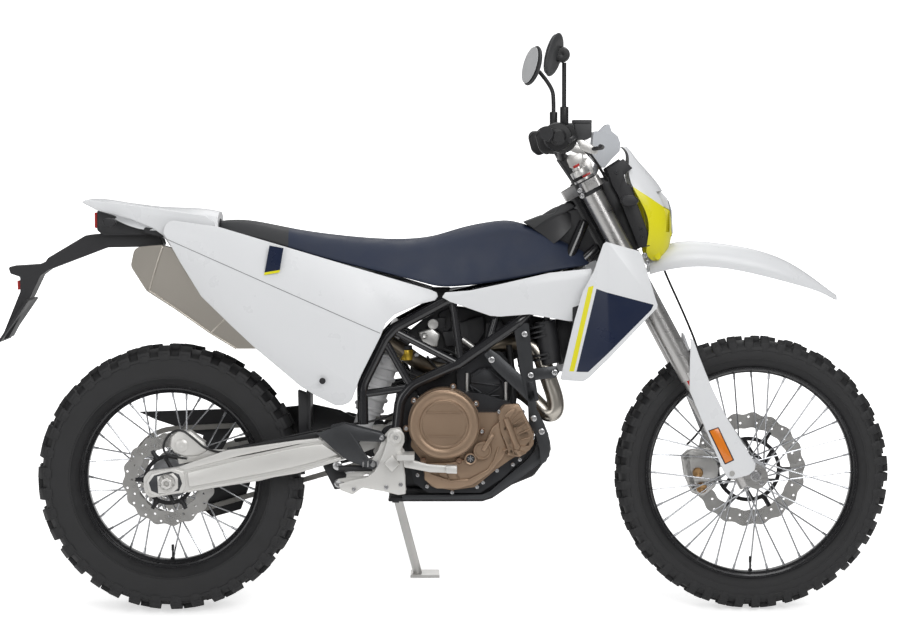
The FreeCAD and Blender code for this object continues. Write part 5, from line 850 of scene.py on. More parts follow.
CLUTCH = (704, -165, 494)
clutch_face = turned_face(CLUTCH, ((2, 0.5), (2, 52), (3, 54), (8, 55), (9.5, 57), (9.5, 60),
                                   (8, 62), (5.5, 63), (5, 66), (6, 68), (7, 82), (5, 86), (0, 89),
                                   (-20, 90), (-20, 0.5)), 96)
clutch_bars = [slab([(656, 520), (752, 520), (758, 532), (650, 532)], 160, 168, 2),
               slab([(650, 457), (758, 457), (752, 469), (656, 469)], 160, 168, 2),
               slab([(658, 466), (750, 466), (757, 482), (758, 506), (750, 523), (658, 523),
                     (650, 506), (651, 482)], 160, 169.5, 2)]
clutch_step = joined([clutch_face] + clutch_bars)
finished(clutch_step, "clutch_cover_face", "chassis", "engine_bronze", bronze_casting)
# The bosses round the rim carry the darker bronze, as painted shade round the screws.
clutch_bosses = [turned_face(seen(column, row, 140), ((-16, 0.5), (8, 0.5), (9, 6), (7, 8),
                                                      (-16, 8)), 20)
                 for column, row in ((453, 386), (414, 400), (406, 428), (476, 403), (482, 431),
                                     (459, 460), (423, 460))]
finished(joined(clutch_bosses), "clutch_cover_bosses", "chassis", "engine_bronze", bronze_painted_shade)
clutch_screws = cap_screws(150, 5, 5, (453, 386), (414, 400), (406, 428), (476, 403), (482, 431))
finished(clutch_screws, "clutch_cover_screws", "chassis", "engine_bronze", bolt_steel)


# Water pump cover: a ribbed bronze painted casting in front of the clutch cover, with its
# pipe cast on. Five screws hold it to the engine.
pump_outline = spots(150, (504, 404), (519, 403), (523, 410), (532, 428), (534, 436), (531, 449),
                     (520, 457), (507, 455), (509, 449), (504, 438), (500, 418), (502, 410))
pump = slab(pump_outline, 128, 150, 4, 3)
pump_pipe = round_bar(seen(506, 418, 154), seen(517, 446, 154), 8.5, 24)
pump_pipe_end = turned_face(seen(517, 446, 150), ((0, 0.5), (12, 0.5), (12, 7), (8, 9.5), (0, 9.5)), 24)
pump_fins = [slab(ribbon(tuple(spots(150, (x0, y0), (x1, y1))), 3), 146, 154, 0.6, 1)
             for x0, y0, x1, y1 in ((513, 419, 521, 411), (514, 424, 524, 416),
                                    (516, 429, 527, 422), (518, 434, 530, 429),
                                    (520, 440, 531, 437), (521, 446, 530, 446),
                                    (518, 450, 526, 453), (513, 450, 514, 456),
                                    (509, 448, 503, 451))]
pump_arrow = slab(spots(150, (505, 415), (510, 409), (516, 408), (513, 413), (508, 420)), 146, 156, 1)
finished(joined([pump, pump_pipe, pump_pipe_end, pump_arrow] + pump_fins), "water_pump_cover",
         "chassis", "engine_bronze", bronze_casting)
pump_screws = cap_screws(136, 8, 5, (499, 411), (523, 411), (505, 437), (533, 437), (520, 459))
finished(pump_screws, "water_pump_screws", "chassis", "engine_bronze", bolt_steel)


# Lower right cover: a bronze painted casting with a stepped rim and ribs, screwed to the
# engine, with a round sight glass for the oil in it.
lower_outline = spots(150, (424, 463), (424, 480), (436, 489), (458, 489), (473, 485), (489, 474),
                      (503, 458), (508, 448), (503, 436), (500, 420), (492, 427), (488, 436),
                      (482, 448), (470, 458), (452, 462))
lower_step = slab(lower_outline, 120, 143, 4, 3)
ridge_line = spots(150, (499, 447), (494, 461), (488, 470), (469, 480), (450, 481), (430, 474))
ridges = [slab(ribbon((start, end), 4), 140, 149, 1.5, 2)
          for start, end in zip(ridge_line, ridge_line[1:])]
grooves = [slab(ribbon(tuple(spots(150, *ends)), 3.4), 140, 147, 1, 1)
           for ends in (((433, 466), (441, 480)), ((444, 466), (449, 481)),
                        ((453, 466), (459, 480)))]
filler = turned_face(seen(482.5, 450, 150), ((-10, 0.5), (6, 0.5), (6, 17), (9, 18), (9, 22),
                                             (6, 24), (-10, 24)), 48)
filler_arm = slab(ribbon(tuple(spots(155, (483, 450), (493, 434))), 10), 150, 162, 2)
finished(joined([lower_step, filler, filler_arm] + ridges + grooves), "right_cover_ribs", "chassis",
         "engine_bronze", bronze_casting)
glass_rim = turned_face(seen(470.5, 458.5, 148), ((-8, 10), (3, 11), (4, 14), (2, 16), (-8, 16)), 32)
finished(glass_rim, "sight_glass_rim", "chassis", "engine_bronze", bronze_casting)
glass = turned_face(seen(470.5, 458.5, 148), ((-6, 0.5), (0, 0.5), (0, 11), (-6, 11)), 32)
finished(glass, "sight_glass", "chassis", "engine_bronze", black_plastic)
glass_star = joined([slab(ribbon(((x - 8 * math.cos(turn), z - 8 * math.sin(turn)),
                                  (x + 8 * math.cos(turn), z + 8 * math.sin(turn))), 2),
                          147, 149, 0)
                     for x, z in spots(148, (470.5, 458.5))
                     for turn in (0.5, 1.55, 2.6)])
finished(glass_star, "sight_glass_star", "chassis", "engine_bronze", bolt_steel)
cover_screws = cap_screws(125, 8, 5, (427, 486), (452, 492), (477, 486.5), (483, 482), (497, 470),
                          (513, 464), (417.5, 474.5))
finished(cover_screws, "right_cover_screws", "chassis", "engine_bronze", bolt_steel)


# Cylinder and head: dark castings with angular ribs round the cam chain's case, the barrel
# below, and two silver pipes beside them.
head_face = slab(spots(70, (470, 373), (479, 367), (493, 367), (505, 380), (506, 394), (503, 400),
                       (476, 401), (470, 393)), 55, 66, 4, 3)
head_top = slab(spots(74, (473, 372), (480, 368), (492, 368), (500, 376), (501, 384), (470, 383)),
                60, 72, 3, 2)
head_ribs = [slab(ribbon(tuple(spots(74, *ends)), 3.5), 60, 74, 1.2, 2)
             for ends in (((472, 376), (486, 367)), ((488, 367), (504, 381)),
                          ((471, 381), (500, 385)), ((472, 386), (485, 395)),
                          ((487, 395), (501, 386)), ((470, 384), (475, 394)),
                          ((503, 381), (505, 394)), ((476, 395), (500, 395)))]
barrel = slab(spots(70, (476, 401), (504, 401), (497, 417), (486, 418), (478, 409)), 40, 62, 4, 3)
finished(joined([head_face, head_top, barrel] + head_ribs), "cylinder_head_ribs", "chassis",
         "engine_dark", dark_casting)
head_pipe = joined([round_bar(seen(506, 381, 72), seen(506, 404, 72), 4.5, 16),
                    round_bar(seen(467, 372, 66), seen(467, 398, 66), 4, 16)])
finished(head_pipe, "cylinder_head_pipe", "chassis", "engine_dark", satin_silver)


# Hoses: black moulded rubber for water, oil and fuel. Their ends are pushed over short pipes
# on the engine and clamped.
rubber_hose = finish_of("rubber_hose", (0.012, 0.012, 0.013), (0.4, 0.55), mottle=0.3, dark=1.6)


def hose(points, radius, sides=12):
    """A bent tube or hose through these places, in millimetres."""
    clear_selection()
    bpy.ops.curve.primitive_nurbs_path_add()
    path = bpy.context.object
    spline = path.data.splines[0]
    if len(points) > len(spline.points):
        spline.points.add(len(points) - len(spline.points))
    for place, point in zip(points, spline.points):
        point.co = (*(Vector(place) * MM), 1)
    if len(points) < len(spline.points):
        for point in spline.points[len(points):]:
            point.co = (*(Vector(points[-1]) * MM), 1)
    spline.order_u = 3
    spline.use_endpoint_u = True
    spline.resolution_u = 6
    path.data.bevel_depth = radius * MM
    path.data.bevel_resolution = sides // 4
    path.data.use_fill_caps = True
    bpy.ops.object.convert(target="MESH")
    return settle(bpy.context.object)


engine_hoses = [hose([seen(514, 386, 70), seen(514, 396, 74), seen(512, 404, 90)], 9, 16),
                hose([seen(509, 344, 60), seen(511, 358, 60), seen(512, 372, 66),
                      seen(514, 388, 70)], 8, 16),
                hose([seen(516, 340, 60), seen(522, 352, 60), seen(520, 366, 60)], 6),
                hose([seen(427, 355, 60), seen(434, 366, 60), seen(446, 372, 50)], 3),
                hose([seen(400, 366, 50), seen(412, 374, 60), seen(428, 378, 60),
                      seen(446, 374, 50)], 3.5),
                hose([seen(444, 348, 40), seen(456, 352, 50), seen(464, 360, 50),
                      seen(470, 372, 50)], 5)]
finished(joined(engine_hoses), "engine_hoses", "chassis", "black_plastic", rubber_hose)


# Inside the trellis: the cast throttle body, black electrical boxes, the shock's brass valve
# with its black lid, and the screws of the engine's mounting plates.
throttle = [slab(spots(50, (418, 331), (432, 327), (440, 333), (437, 346), (424, 345)),
                 20, 52, 4, 3),
            turned_face(seen(424.5, 334.5, 50), ((0, 0.5), (9, 0.5), (10, 5), (7, 8), (0, 8)), 24),
            turned_face(seen(433, 323, 44), ((-30, 0.5), (6, 0.5), (7, 13), (-30, 16)), 32),
            round_bar(seen(462, 338, 40), seen(473, 346, 40), 7, 16)]
finished(joined(throttle), "throttle_body", "chassis", "engine_dark", satin_silver)
boxes = [slab(spots(60, (442, 331), (456, 330), (456, 345), (446, 346)), 10, 44, 3, 2),
         slab(spots(60, (428, 318), (446, 316), (446, 328), (430, 330)), -30, 40, 3, 2),
         slab(spots(60, (458, 322), (474, 318), (480, 334), (470, 350), (460, 346)), -40, 36, 4, 2),
         slab(spots(60, (486, 322), (500, 318), (508, 330), (506, 356), (494, 362), (484, 346)),
              -40, 40, 4, 2),
         slab(spots(60, (396, 340), (404, 336), (410, 343), (402, 352)), -30, 30, 3, 2)]
finished(joined(boxes), "control_boxes", "chassis", "black_plastic", black_plastic)
brass_valve = finish_of("brass_valve", (0.62, 0.42, 0.05), (0.25, 0.35), metal=0.8)
valve_cap = round_bar(seen(406.7, 348.5, 62), seen(406.7, 359, 62), 17, 24)
finished(soften(valve_cap, 1.5), "shock_valve", "chassis", "spring_white", brass_valve)
valve_lid = round_bar(seen(406.2, 344.5, 62), seen(406.5, 348.5, 62), 15, 24)
finished(soften(valve_lid, 1.5), "shock_valve_lid", "chassis", "black_plastic", black_plastic)
finished(cap_screws(60, 18, 6, (416.4, 353.5)), "shock_valve_bolt", "chassis", "engine_dark",
         bolt_steel)
plate_bolts = cap_screws(118, 4, 8, (491.6, 358.7), (534, 417.8), (542, 431))
finished(plate_bolts, "engine_plate_bolts", "chassis", "frame_black", bolt_steel)
bracket_bolts = cap_screws(132, 4, 7.5, (524.8, 333), (531, 374.2), (555, 371.5))
finished(bracket_bolts, "bracket_bolts", "chassis", "frame_black", bolt_steel)


# Airbox: black moulded plastic boxes and an intake duct behind the trellis, with plain inner
# covers round them. They are screwed to the frame.
airbox = [slab(spots(20, (405, 338), (424, 322), (452, 305), (520, 313), (558, 320), (557, 343),
                     (520, 350), (500, 362), (470, 358), (452, 350), (428, 350), (413, 344)),
               -34, 22, 6, 3),
          slab(spots(40, (438, 312), (450, 306), (452, 326), (446, 334), (438, 330)), 0, 36, 4, 3),
          slab(spots(40, (466, 318), (484, 314), (486, 330), (478, 344), (468, 344)), 0, 38, 7, 3),
          slab(spots(40, (506, 336), (518, 334), (520, 356), (508, 362)), 0, 38, 4, 3)]
finished(joined(airbox), "airbox_body", "chassis", "black_plastic", black_plastic)
duct = slab(spots(20, (410, 364), (440, 356), (468, 352), (484, 366), (478, 392), (440, 398),
                  (412, 394)), -44, 40, 8, 3)
finished(duct, "intake_duct", "chassis", "black_plastic", black_plastic)
gap_fill = joined([slab(spots(50, (556, 318), (576, 322), (566, 362), (559, 364), (556, 340)),
                        20, 60, 3, 2),
                   slab(spots(20, (404, 334), (440, 304), (452, 300), (458, 306), (420, 342)),
                        0, 30, 3, 2),
                   slab(spots(20, (432, 286), (450, 286), (449, 300), (438, 303)), 0, 30, 3, 2),
                   slab(spots(20, (402, 388), (418, 390), (416, 436), (424, 470), (428, 490),
                              (403, 490), (400, 450)), -20, 50, 4, 3)])
finished(gap_fill, "inner_covers", "chassis", "black_plastic", black_plastic)


# Vapour canister: a black moulded plastic can with round ribs, on the frame in front of the
# cylinder head.
canister_ribs = [round_bar(seen(538.5 + 0.16 * down, 324 + down, 80),
                           seen(538.9 + 0.16 * down, 325.6 + down, 80), 32, 40)
                 for down in (0, 5, 10, 28, 32)]
finished(joined(canister_ribs), "canister_ribs", "chassis", "black_plastic", black_plastic)


# Skid plate: black moulded plastic with a grey edge, clamped under the engine; flat steel
# brackets join it to the frame and the head.
inner_skid = slab(spots(70, (543, 424), (549, 434), (550, 455), (534, 476), (486, 496), (402, 497),
                        (402, 488), (424, 488), (470, 488), (498, 470), (520, 458), (534, 440)),
                  10, 68, 5, 3)
finished(inner_skid, "skid_plate_inside", "chassis", "black_plastic", black_plastic)
clamp_bar = slab(spots(80, (496, 474), (513, 462), (516, 466), (499, 478)), 66, 78, 2, 2)
finished(clamp_bar, "skid_plate_clamp", "chassis", "frame_black", grey_plate_and_recess_shade)
brackets = [slab(spots(122, (525, 380), (534, 380), (537, 408), (545, 424), (550, 440), (550, 456),
                       (541, 466), (540, 450), (536, 436), (529, 424), (528, 400)), 112, 118, 2, 2),
            slab(spots(122, (484, 354), (490, 348), (499, 354), (523, 376), (530, 390), (529, 402),
                       (519, 392), (494, 368)), 110, 116, 2, 2),
            slab(spots(122, (531, 368), (556, 365), (560, 371), (556, 377), (533, 380)),
                 112, 118, 2, 2)]
finished(joined(brackets), "engine_brackets", "chassis", "frame_black", grey_plate_and_recess_shade)
skid_face = slab(spots(84, (551, 444), (550, 453), (544.4, 460), (524.6, 474.8), (505.6, 488),
                       (493.8, 495.5), (483.6, 499), (402, 499.5), (402, 494.5), (482, 494),
                       (490, 491), (502.6, 479.5), (526, 460), (534, 451), (536, 442)),
                 78, 90, 2, 2)
on_both_sides(skid_face, "skid_plate_edge", "chassis", "black_plastic", grey_plate_and_recess_shade)


# Exhaust: a bent titanium tube from the head, round in front of the engine, and a darker one
# back over it to the silencer, a folded titanium box. The run's brown is heat tint, and its
# darkness is painted shade where it passes inside the frame.
titanium = finish_of("titanium", (0.6, 0.56, 0.5), (0.26, 0.36), metal=1.0, grain=500, patch=3,
                     relief=0.00001, mottle=0.2)
# Heat tinted titanium, made darker as painted shade for the run inside the frame.
titanium_tint_and_shade = finish_of("titanium_tint_and_shade", (0.2, 0.17, 0.13), (0.3, 0.45), metal=1.0, mottle=0.4)
header_bend = hose([seen(528, 342, 60), seen(540, 350, 66), seen(548, 376, 74), seen(556, 398, 76),
                    seen(556, 411, 76), seen(548, 414, 70), seen(538, 404, 62), seen(528, 394, 52),
                    seen(514, 386, 40), seen(502, 384, 20)], 22, 24)
header_run = hose([seen(528, 342, 60), seen(510, 340, 40), seen(480, 352, 20), seen(450, 368, 20),
                   seen(424, 366, 40), seen(400, 348, 60), seen(380, 336, 80), seen(366, 326, 92)],
                  20, 24)
paint_nodes(titanium, "silencer")
header = finished(header_bend, "exhaust_header_bend", "chassis", "titanium", titanium)
finished(header_run, "exhaust_header_run", "chassis", "titanium", titanium_tint_and_shade)
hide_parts("exhaust_header")


# Frame: a trellis of welded steel tube under gloss black powder coat, with grey steel plates
# that the engine hangs from.
frame_black = finish_of("frame_black", (0.014, 0.014, 0.016), (0.16, 0.26), coat=0.6,
                        relief=0.00001)
paint_nodes(frame_black, "frame")
paint_nodes(grey_plate_and_recess_shade, "frame_plates")


# Side stand: a forged aluminium leg with a flat foot. It turns on a steel pin left of the
# engine and folds back under the swingarm.
paint_nodes(satin_silver, "side_stand")


# Shock absorber: a coil spring of steel wire under white powder coat, round its damper. It is
# bolted between the frame and the linkage.
spring_white = finish_of("spring_white", (0.78, 0.78, 0.79), (0.25, 0.35))
paint_nodes(spring_white, "shock_absorber")


# Front mudguard and tail: white injection moulded plastic. The mudguard is screwed under the
# lower fork clamp and the tail on the rear frame.
paint_nodes(white_plastic, "front_mudguard", "tail_section")


# Black pieces: moulded plastic fuel tank, number plate arm, covers, guards and control
# housings, and the powder coated radiators and handlebar.
paint_nodes(black_plastic, "rear_fuel_tank", "plate_holder", "radiators", "airbox_cover",
            "skid_plate", "mud_flap", "hand_controls", "handlebar", "swingarm_guards")


# Fork legs and clamps: drawn and anodised aluminium tubes, held by the pinch bolts of two
# machined aluminium clamps.
fork_silver = finish_of("fork_silver", (0.56, 0.55, 0.54), (0.26, 0.34), metal=0.95, mottle=0.04,
                        stretch=(1, 1, 12))
paint_nodes(fork_silver, "fork_legs", "triple_clamps")


# Fork guards: white moulded plastic with a folded front lip, screwed to the legs' feet, each
# with an amber reflector in a black rim.
amber = finish_of("amber_reflector", (0.75, 0.2, 0.01), (0.15, 0.25), grain=420, relief=0.0003,
                  coat=0.6)
guard_outline = spots(132, (691, 337), (694, 339), (701.5, 360), (713, 388), (726, 414), (757, 464),
                      (756, 470), (750, 475), (735, 479), (729, 478), (724, 470), (711, 440),
                      (690, 390), (690, 370))
guard_plate = slab(guard_outline, 134, 139, 3, 3)
guard_lip = slab(spots(132, (691, 337), (701, 358), (713, 388), (726, 414), (757, 464), (752, 466),
                       (720, 414), (707, 388), (696, 362)), 110, 137, 3, 3)
guard_right = on_both_sides(joined([guard_plate, guard_lip]), "fork_guard", "steering",
                            "white_plastic", white_plastic)[0]
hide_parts("fork_guards")
reflector = slab(spots(136, (710.5, 430.5), (719, 427.5), (734, 459.5), (726.5, 463)),
                 138, 141.5, 1.2, 2)
reflector_rim = slab(spots(136, (709, 430), (719.5, 426.5), (735.5, 460), (726, 464.5)), 137, 140, 1, 1)
on_both_sides(reflector, "fork_reflector", "steering", "lamp_red", amber)
on_both_sides(reflector_rim, "fork_reflector_rim", "steering", "black_plastic", black_plastic)
guard_screw = screw_at(seen(733.3, 473.5, 138), 7)
on_both_sides(guard_screw, "fork_guard_screw", "steering", "black_plastic", satin_silver)


# Fork details: rubber seals under a red ring, black clamp bands, caps with red adjusters, the
# clamps' pinch bolts, and the axle's end.
seal_red = finish_of("seal_red", (0.55, 0.02, 0.015), (0.3, 0.4))
UP_FORK = (seen(590, 190, 105) - seen(742, 465, 105)).normalized()


def on_leg(up):
    """A place on the right fork leg's middle line, so far up from its foot."""
    return seen(742, 465, 105) + UP_FORK * up


def leg_ring(low, high, radius, edge=1):
    """A ring or cap round the right fork leg, between two heights on it."""
    return soften(round_bar(on_leg(low), on_leg(high), radius, 48), edge)


seal = leg_ring(240, 262, 26.5)
on_both_sides(seal, "fork_seal", "steering", "fork_silver", seal_red)
seal_cap = leg_ring(262, 276, 28)
on_both_sides(seal_cap, "fork_seal_cap", "steering", "fork_silver", satin_silver)
clamp_bands = leg_ring(792, 832, 30, 2)
on_both_sides(clamp_bands, "fork_clamp_bands", "steering", "black_plastic", black_plastic)
fork_cap = joined([leg_ring(846, 862, 24), leg_ring(862, 870, 14)])
on_both_sides(fork_cap, "fork_cap", "steering", "fork_silver", satin_silver)
fork_adjuster = leg_ring(870, 876, 9)
on_both_sides(fork_adjuster, "fork_adjuster", "steering", "fork_silver", seal_red)
pinch_bolts = cap_screws(136, 5, 6.5, (579.7, 189.3), (582, 194.8), (644.7, 254.3), (647.8, 261.4))
on_both_sides(pinch_bolts, "clamp_pinch_bolts", "steering", "fork_silver", bolt_steel)
axle_end = turned_face(seen(757.5, 476, 134), ((-4, 0.5), (1, 0.5), (1, 7), (3, 8), (3, 12),
                                               (1, 14), (-4, 14)), 32)
finished(axle_end, "front_axle_end", "steering", "fork_silver", bolt_steel)
foot_bolts = cap_screws(132, 3, 6, (748, 489), (763, 483))
finished(foot_bolts, "fork_foot_bolts", "steering", "fork_silver", bolt_steel)


# Front brake: a cast caliper with two pistons behind the disc, bolted to the left leg's foot,
# and its rubber hose down from the clamps.
brake_hose = hose([seen(662, 262, 20), seen(664, 269, 10), seen(684, 312, -20), seen(699, 348, -60),
                   seen(706, 380, -96), seen(707, 420, -98), seen(697, 436, -92),
                   seen(688, 444, -80)], 3, 8)
finished(brake_hose, "front_brake_hose", "steering", "black_plastic", rubber_hose)
caliper_face = [slab(spots(-60, (681, 455), (690, 448), (708, 447), (716, 452), (720, 468),
                           (716, 486), (704, 496), (692, 492), (684, 474)), -50, -36, 5, 3),
                slab(spots(-60, (683, 455), (692, 449), (712, 449), (718, 462), (714, 484),
                           (700, 493), (690, 486), (684, 470)), -84, -67, 5, 3),
                slab(spots(-60, (682, 456), (690, 449), (693, 470), (698, 487), (697, 494),
                           (690, 488)), -84, -36, 4, 3),
                slab(spots(-80, (706, 452), (744, 448), (748, 462), (712, 468)), -94, -74, 4, 3)]
caliper = finished(joined(caliper_face), "front_caliper_body", "steering", "caliper", satin_silver)
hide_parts("front_caliper")
brass = finish_of("piston_brass", (0.5, 0.3, 0.14), (0.25, 0.4), metal=0.9)
pistons = joined([turned_face(seen(column, row, -28), ((-4, 0.5), (1, 0.5), (2, 4), (3, 12),
                                                       (0, 14), (-4, 14)), 32)
                  for column, row in ((699, 473), (703, 488))])
finished(pistons, "front_caliper_pistons", "steering", "caliper", brass)


# Mask: one white moulding round the headlamp with a yellow lower part, on black side plates
# and stays, with a small yellow tab at each foot.
def two_toned(paint, colour, point, normal):
    """Paints a second colour beyond a plane, on the side that its normal points away from."""
    make = paint.node_tree.nodes
    join = paint.node_tree.links.new
    shader = make["Principled BSDF"]
    first = shader.inputs["Base Color"].links[0].from_socket
    where = make.new("ShaderNodeTexCoord")
    offset = make.new("ShaderNodeVectorMath")
    offset.operation = "DOT_PRODUCT"
    join(where.outputs["Object"], offset.inputs[0])
    offset.inputs[1].default_value = normal
    below = make.new("ShaderNodeMath")
    below.operation = "LESS_THAN"
    join(offset.outputs["Value"], below.inputs[0])
    below.inputs[1].default_value = normal.dot(point)
    blend = make.new("ShaderNodeMix")
    blend.data_type = "RGBA"
    join(below.outputs[0], blend.inputs["Factor"])
    join(first, blend.inputs["A"])
    blend.inputs["B"].default_value = (*colour, 1)
    join(blend.outputs["Result"], shader.inputs["Base Color"])


def edge_below(piece, start, end):
    """The edge of a colour that lies under the line between two places of the upright machine."""
    local = piece.matrix_world.inverted() @ LEANED
    first, last = local @ (start * MM), local @ (end * MM)
    across = local.to_3x3() @ Vector((0, 1, 0))
    return first, (last - first).cross(across).normalized()


mask = nodes["headlight_surround"]
mask_paint = finish_of("mask_two_tone", (0.74, 0.75, 0.765), (0.26, 0.34), grain=260,
                       relief=0.00002, mottle=0.03, dark=0.95)
two_toned(mask_paint, (0.78, 0.72, 0.01), *edge_below(mask, seen(632, 185.5, 60),
                                                      seen(672, 211.5, 60)))
paint_nodes(mask_paint, "headlight_surround")
mask_tab = slab(spots(70, (650, 240), (659, 244), (661, 257), (658, 259.5), (654, 256)), 66, 72, 1.5, 2)
on_both_sides(mask_tab, "mask_tab", "steering", "white_plastic", stripe_yellow)
mask_side = slab(spots(92, (607, 168), (623, 157.6), (632.4, 167), (624, 173.5), (626, 181.5),
                       (632.4, 186.5), (637, 202), (650, 236), (650, 245), (639, 247), (618, 194),
                       (611.6, 183)), 84, 90, 1.5, 2)
on_both_sides(mask_side, "mask_side_plate", "steering", "black_plastic", black_plastic)
mask_bolts = cap_screws(90, 2, 5, (616.4, 171.4), (641, 228), (642.5, 236))
on_both_sides(mask_bolts, "mask_bolts", "steering", "black_plastic", grey_plate_and_recess_shade)
mask_stay = slab(spots(66, (600, 177), (610, 176), (617, 190), (640, 247), (632, 250), (606, 196)),
                 60, 72, 2, 2)
on_both_sides(mask_stay, "mask_stay", "steering", "black_plastic", black_plastic)


# Headlamp and front indicators: a clear lens in a black rim between two cheeks that close the
# mask's front, and black indicator pods on short stalks.
lamp_glass = finish_of("lamp_glass", (0.75, 0.78, 0.8), (0.03, 0.06), grain=200, coat=1.0)
lens_frame = slab(spots(0, (650, 188), (661, 191.5), (667, 199), (669.5, 209), (671, 235),
                        (650, 240)), -37, 37, 2, 2)
finished(lens_frame, "headlight_rim", "steering", "black_plastic", black_plastic)
cheek_white = slab(spots(40, (640, 178), (652, 184), (660, 189.5), (667.3, 197.5), (669.8, 209),
                         (655, 201.5), (644, 193.5)), 34, 44, 3, 3)
on_both_sides(cheek_white, "lamp_cheek_upper", "steering", "white_plastic", white_plastic)
cheek_yellow = slab(spots(40, (644, 193.7), (655, 201.7), (669.8, 209.2), (671.8, 234),
                          (664, 243.5), (650, 240)), 34, 44, 3, 3)
on_both_sides(cheek_yellow, "lamp_cheek_lower", "steering", "white_plastic", stripe_yellow)
lens = slab(spots(0, (656, 194), (667.8, 199), (671, 209), (672.4, 233), (656, 234)), -32, 32, 5, 4)
lens = finished(lens, "headlight_lens", "steering", "lamp_clear", lamp_glass)
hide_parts("front_lamps")
pod = slab(spots(130, (620, 197), (626, 193.5), (634, 194.5), (638.5, 199), (635, 204), (626, 205),
                 (620, 202)), 112, 171, 6, 4)
pod_stalk = round_bar(seen(629, 200, 78), seen(629, 200, 116), 7, 16)
on_both_sides(joined([pod, pod_stalk]), "indicator_front", "steering", "lamp_red", black_plastic)


# Screen: a small wind deflector of translucent moulded plastic, over the instruments. It is
# painted as one piece with them.
screen_white = finish_of("screen_white", (0.55, 0.57, 0.6), (0.2, 0.3), mottle=0.1)
paint_nodes(screen_white, "instrument_panel")


# Grips: ribbed black rubber with a flange, and the plastic throttle and switch housings
# clamped beside them.
grip = turned_face(seen(557.5, 135.8, 330), ((-10, 0.5), (78, 0.5), (78, 13), (74, 17), (20, 17),
                                             (17, 21), (2, 21), (0, 33), (-8, 36), (-10, 34)), 48)
grip_rings = joined([turned_face(seen(556.5, 135.8, 340), ((out, 16.5), (out + 2, 18.3),
                                                           (out + 4, 16.5)), 32)
                     for out in range(12, 60, 7)])
housing = turned_face(seen(562, 137, 290), ((-30, 0.5), (18, 0.5), (18, 26), (12, 37), (-18, 38),
                                            (-30, 28)), 32)
switch_box = slab(spots(280, (535, 134), (541, 128), (550, 126), (556, 132), (556, 150), (546, 154),
                        (539, 149)), 262, 296, 6, 3)
on_both_sides(joined([grip, grip_rings, housing, switch_box]), "grip", "steering", "black_plastic",
              rubber_hose)


# Reservoirs and levers: black plastic fluid cups with screwed lids, and black levers on
# machined silver mounts.
shell_grey = finish_of("mirror_shell", (0.045, 0.046, 0.048), (0.45, 0.6), mottle=0.2)
reservoir = slab(spots(262, (572.3, 121), (574, 119.8), (589, 119.8), (591, 122), (591, 136),
                       (586, 139), (576, 139)), 236, 284, 3, 3)
reservoir_lid = slab(spots(262, (572, 122.5), (572, 119), (591, 119), (591, 122.5)), 233, 287, 1.5, 2)
on_both_sides(joined([reservoir, reservoir_lid]), "reservoir", "steering", "black_plastic", shell_grey)
lever_body = slab(spots(276, (576, 139), (582, 137.5), (590, 143), (598, 148), (597, 153),
                        (590, 152.5), (581, 149)), 262, 282, 3, 3)
lever_arm = hose([seen(590, 148, 270), seen(600, 147, 300), seen(603, 146, 360),
                  seen(600, 145, 412)], 5, 12)
on_both_sides(lever_body, "lever_mount", "steering", "fork_silver", satin_silver)
on_both_sides(lever_arm, "lever_arm", "steering", "black_plastic", black_plastic)


# Mirrors: plastic shells with glass that face the rider, on black steel stalks in rubber
# sleeves. The right stalk is straight and the left one is bent.
mirror_glass = finish_of("mirror_glass", (0.7, 0.71, 0.72), (0.05, 0.1), metal=0.1)
sleeve = round_bar(seen(564, 123, 300), seen(564, 105.8, 300), 10.5, 20)
stem = round_bar(seen(563.8, 106, 300), seen(563.8, 62, 300), 5.5, 16)
ball = turned_face(seen(561.5, 54, 322), ((-14, 0.5), (8, 0.5), (10, 6), (8, 17), (0, 20),
                                          (-14, 18)), 32)
finished(joined([soften(sleeve, 1.5), stem, ball]), "mirror_stalk_right", "steering",
         "black_plastic", rubber_hose)
left_sleeve = round_bar(seen(553.3, 126, -300), seen(553.3, 111, -300), 10.5, 20)
left_stem = hose([seen(553.3, 112, -300), seen(553.4, 96, -302), seen(551.5, 88, -306),
                  seen(545, 78, -316), seen(539, 71, -326)], 5.5, 16)
finished(joined([soften(left_sleeve, 1.5), left_stem]), "mirror_stalk_left", "steering",
         "black_plastic", rubber_hose)


def mirror_head():
    """A lens shaped mirror shell that faces the rider, and its glass."""
    clear_selection()
    bpy.ops.mesh.primitive_uv_sphere_add(segments=48, ring_count=24, radius=MM)
    shell = bpy.context.object
    shell.scale = (14, 66, 55)
    settle(shell)
    for corner in shell.data.vertices:
        corner.co.x = min(corner.co.x, 9 * MM) if corner.co.x > 0 else max(corner.co.x * 0.6, -7 * MM)
    clear_selection()
    bpy.ops.mesh.primitive_cylinder_add(vertices=48, radius=MM, depth=MM)
    glass = bpy.context.object
    glass.rotation_euler = (0, math.pi / 2, 0)
    settle(glass)
    glass.scale = (1, 60, 50)
    settle(glass)
    glass.location = (-7.2 * MM, 0, 0)
    return shell, settle(glass)


MIRROR_TILT, MIRROR_TURN = 14, 16
for side, name, place in ((-1, "right", seen(553.5, 54, 330)), (1, "left", seen(532, 65, -330))):
    shell, glass = mirror_head()
    for part, kind, paint in ((shell, "shell", shell_grey), (glass, "glass", mirror_glass)):
        part.rotation_euler = (0, math.radians(MIRROR_TILT), math.radians(MIRROR_TURN) * side)
        part.location = place * MM
        settle(part)
        part = finished(part, f"mirror_{kind}_{name}", "steering", "black_plastic", paint)
        if kind == "shell":
            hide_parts(f"mirror_{name}")


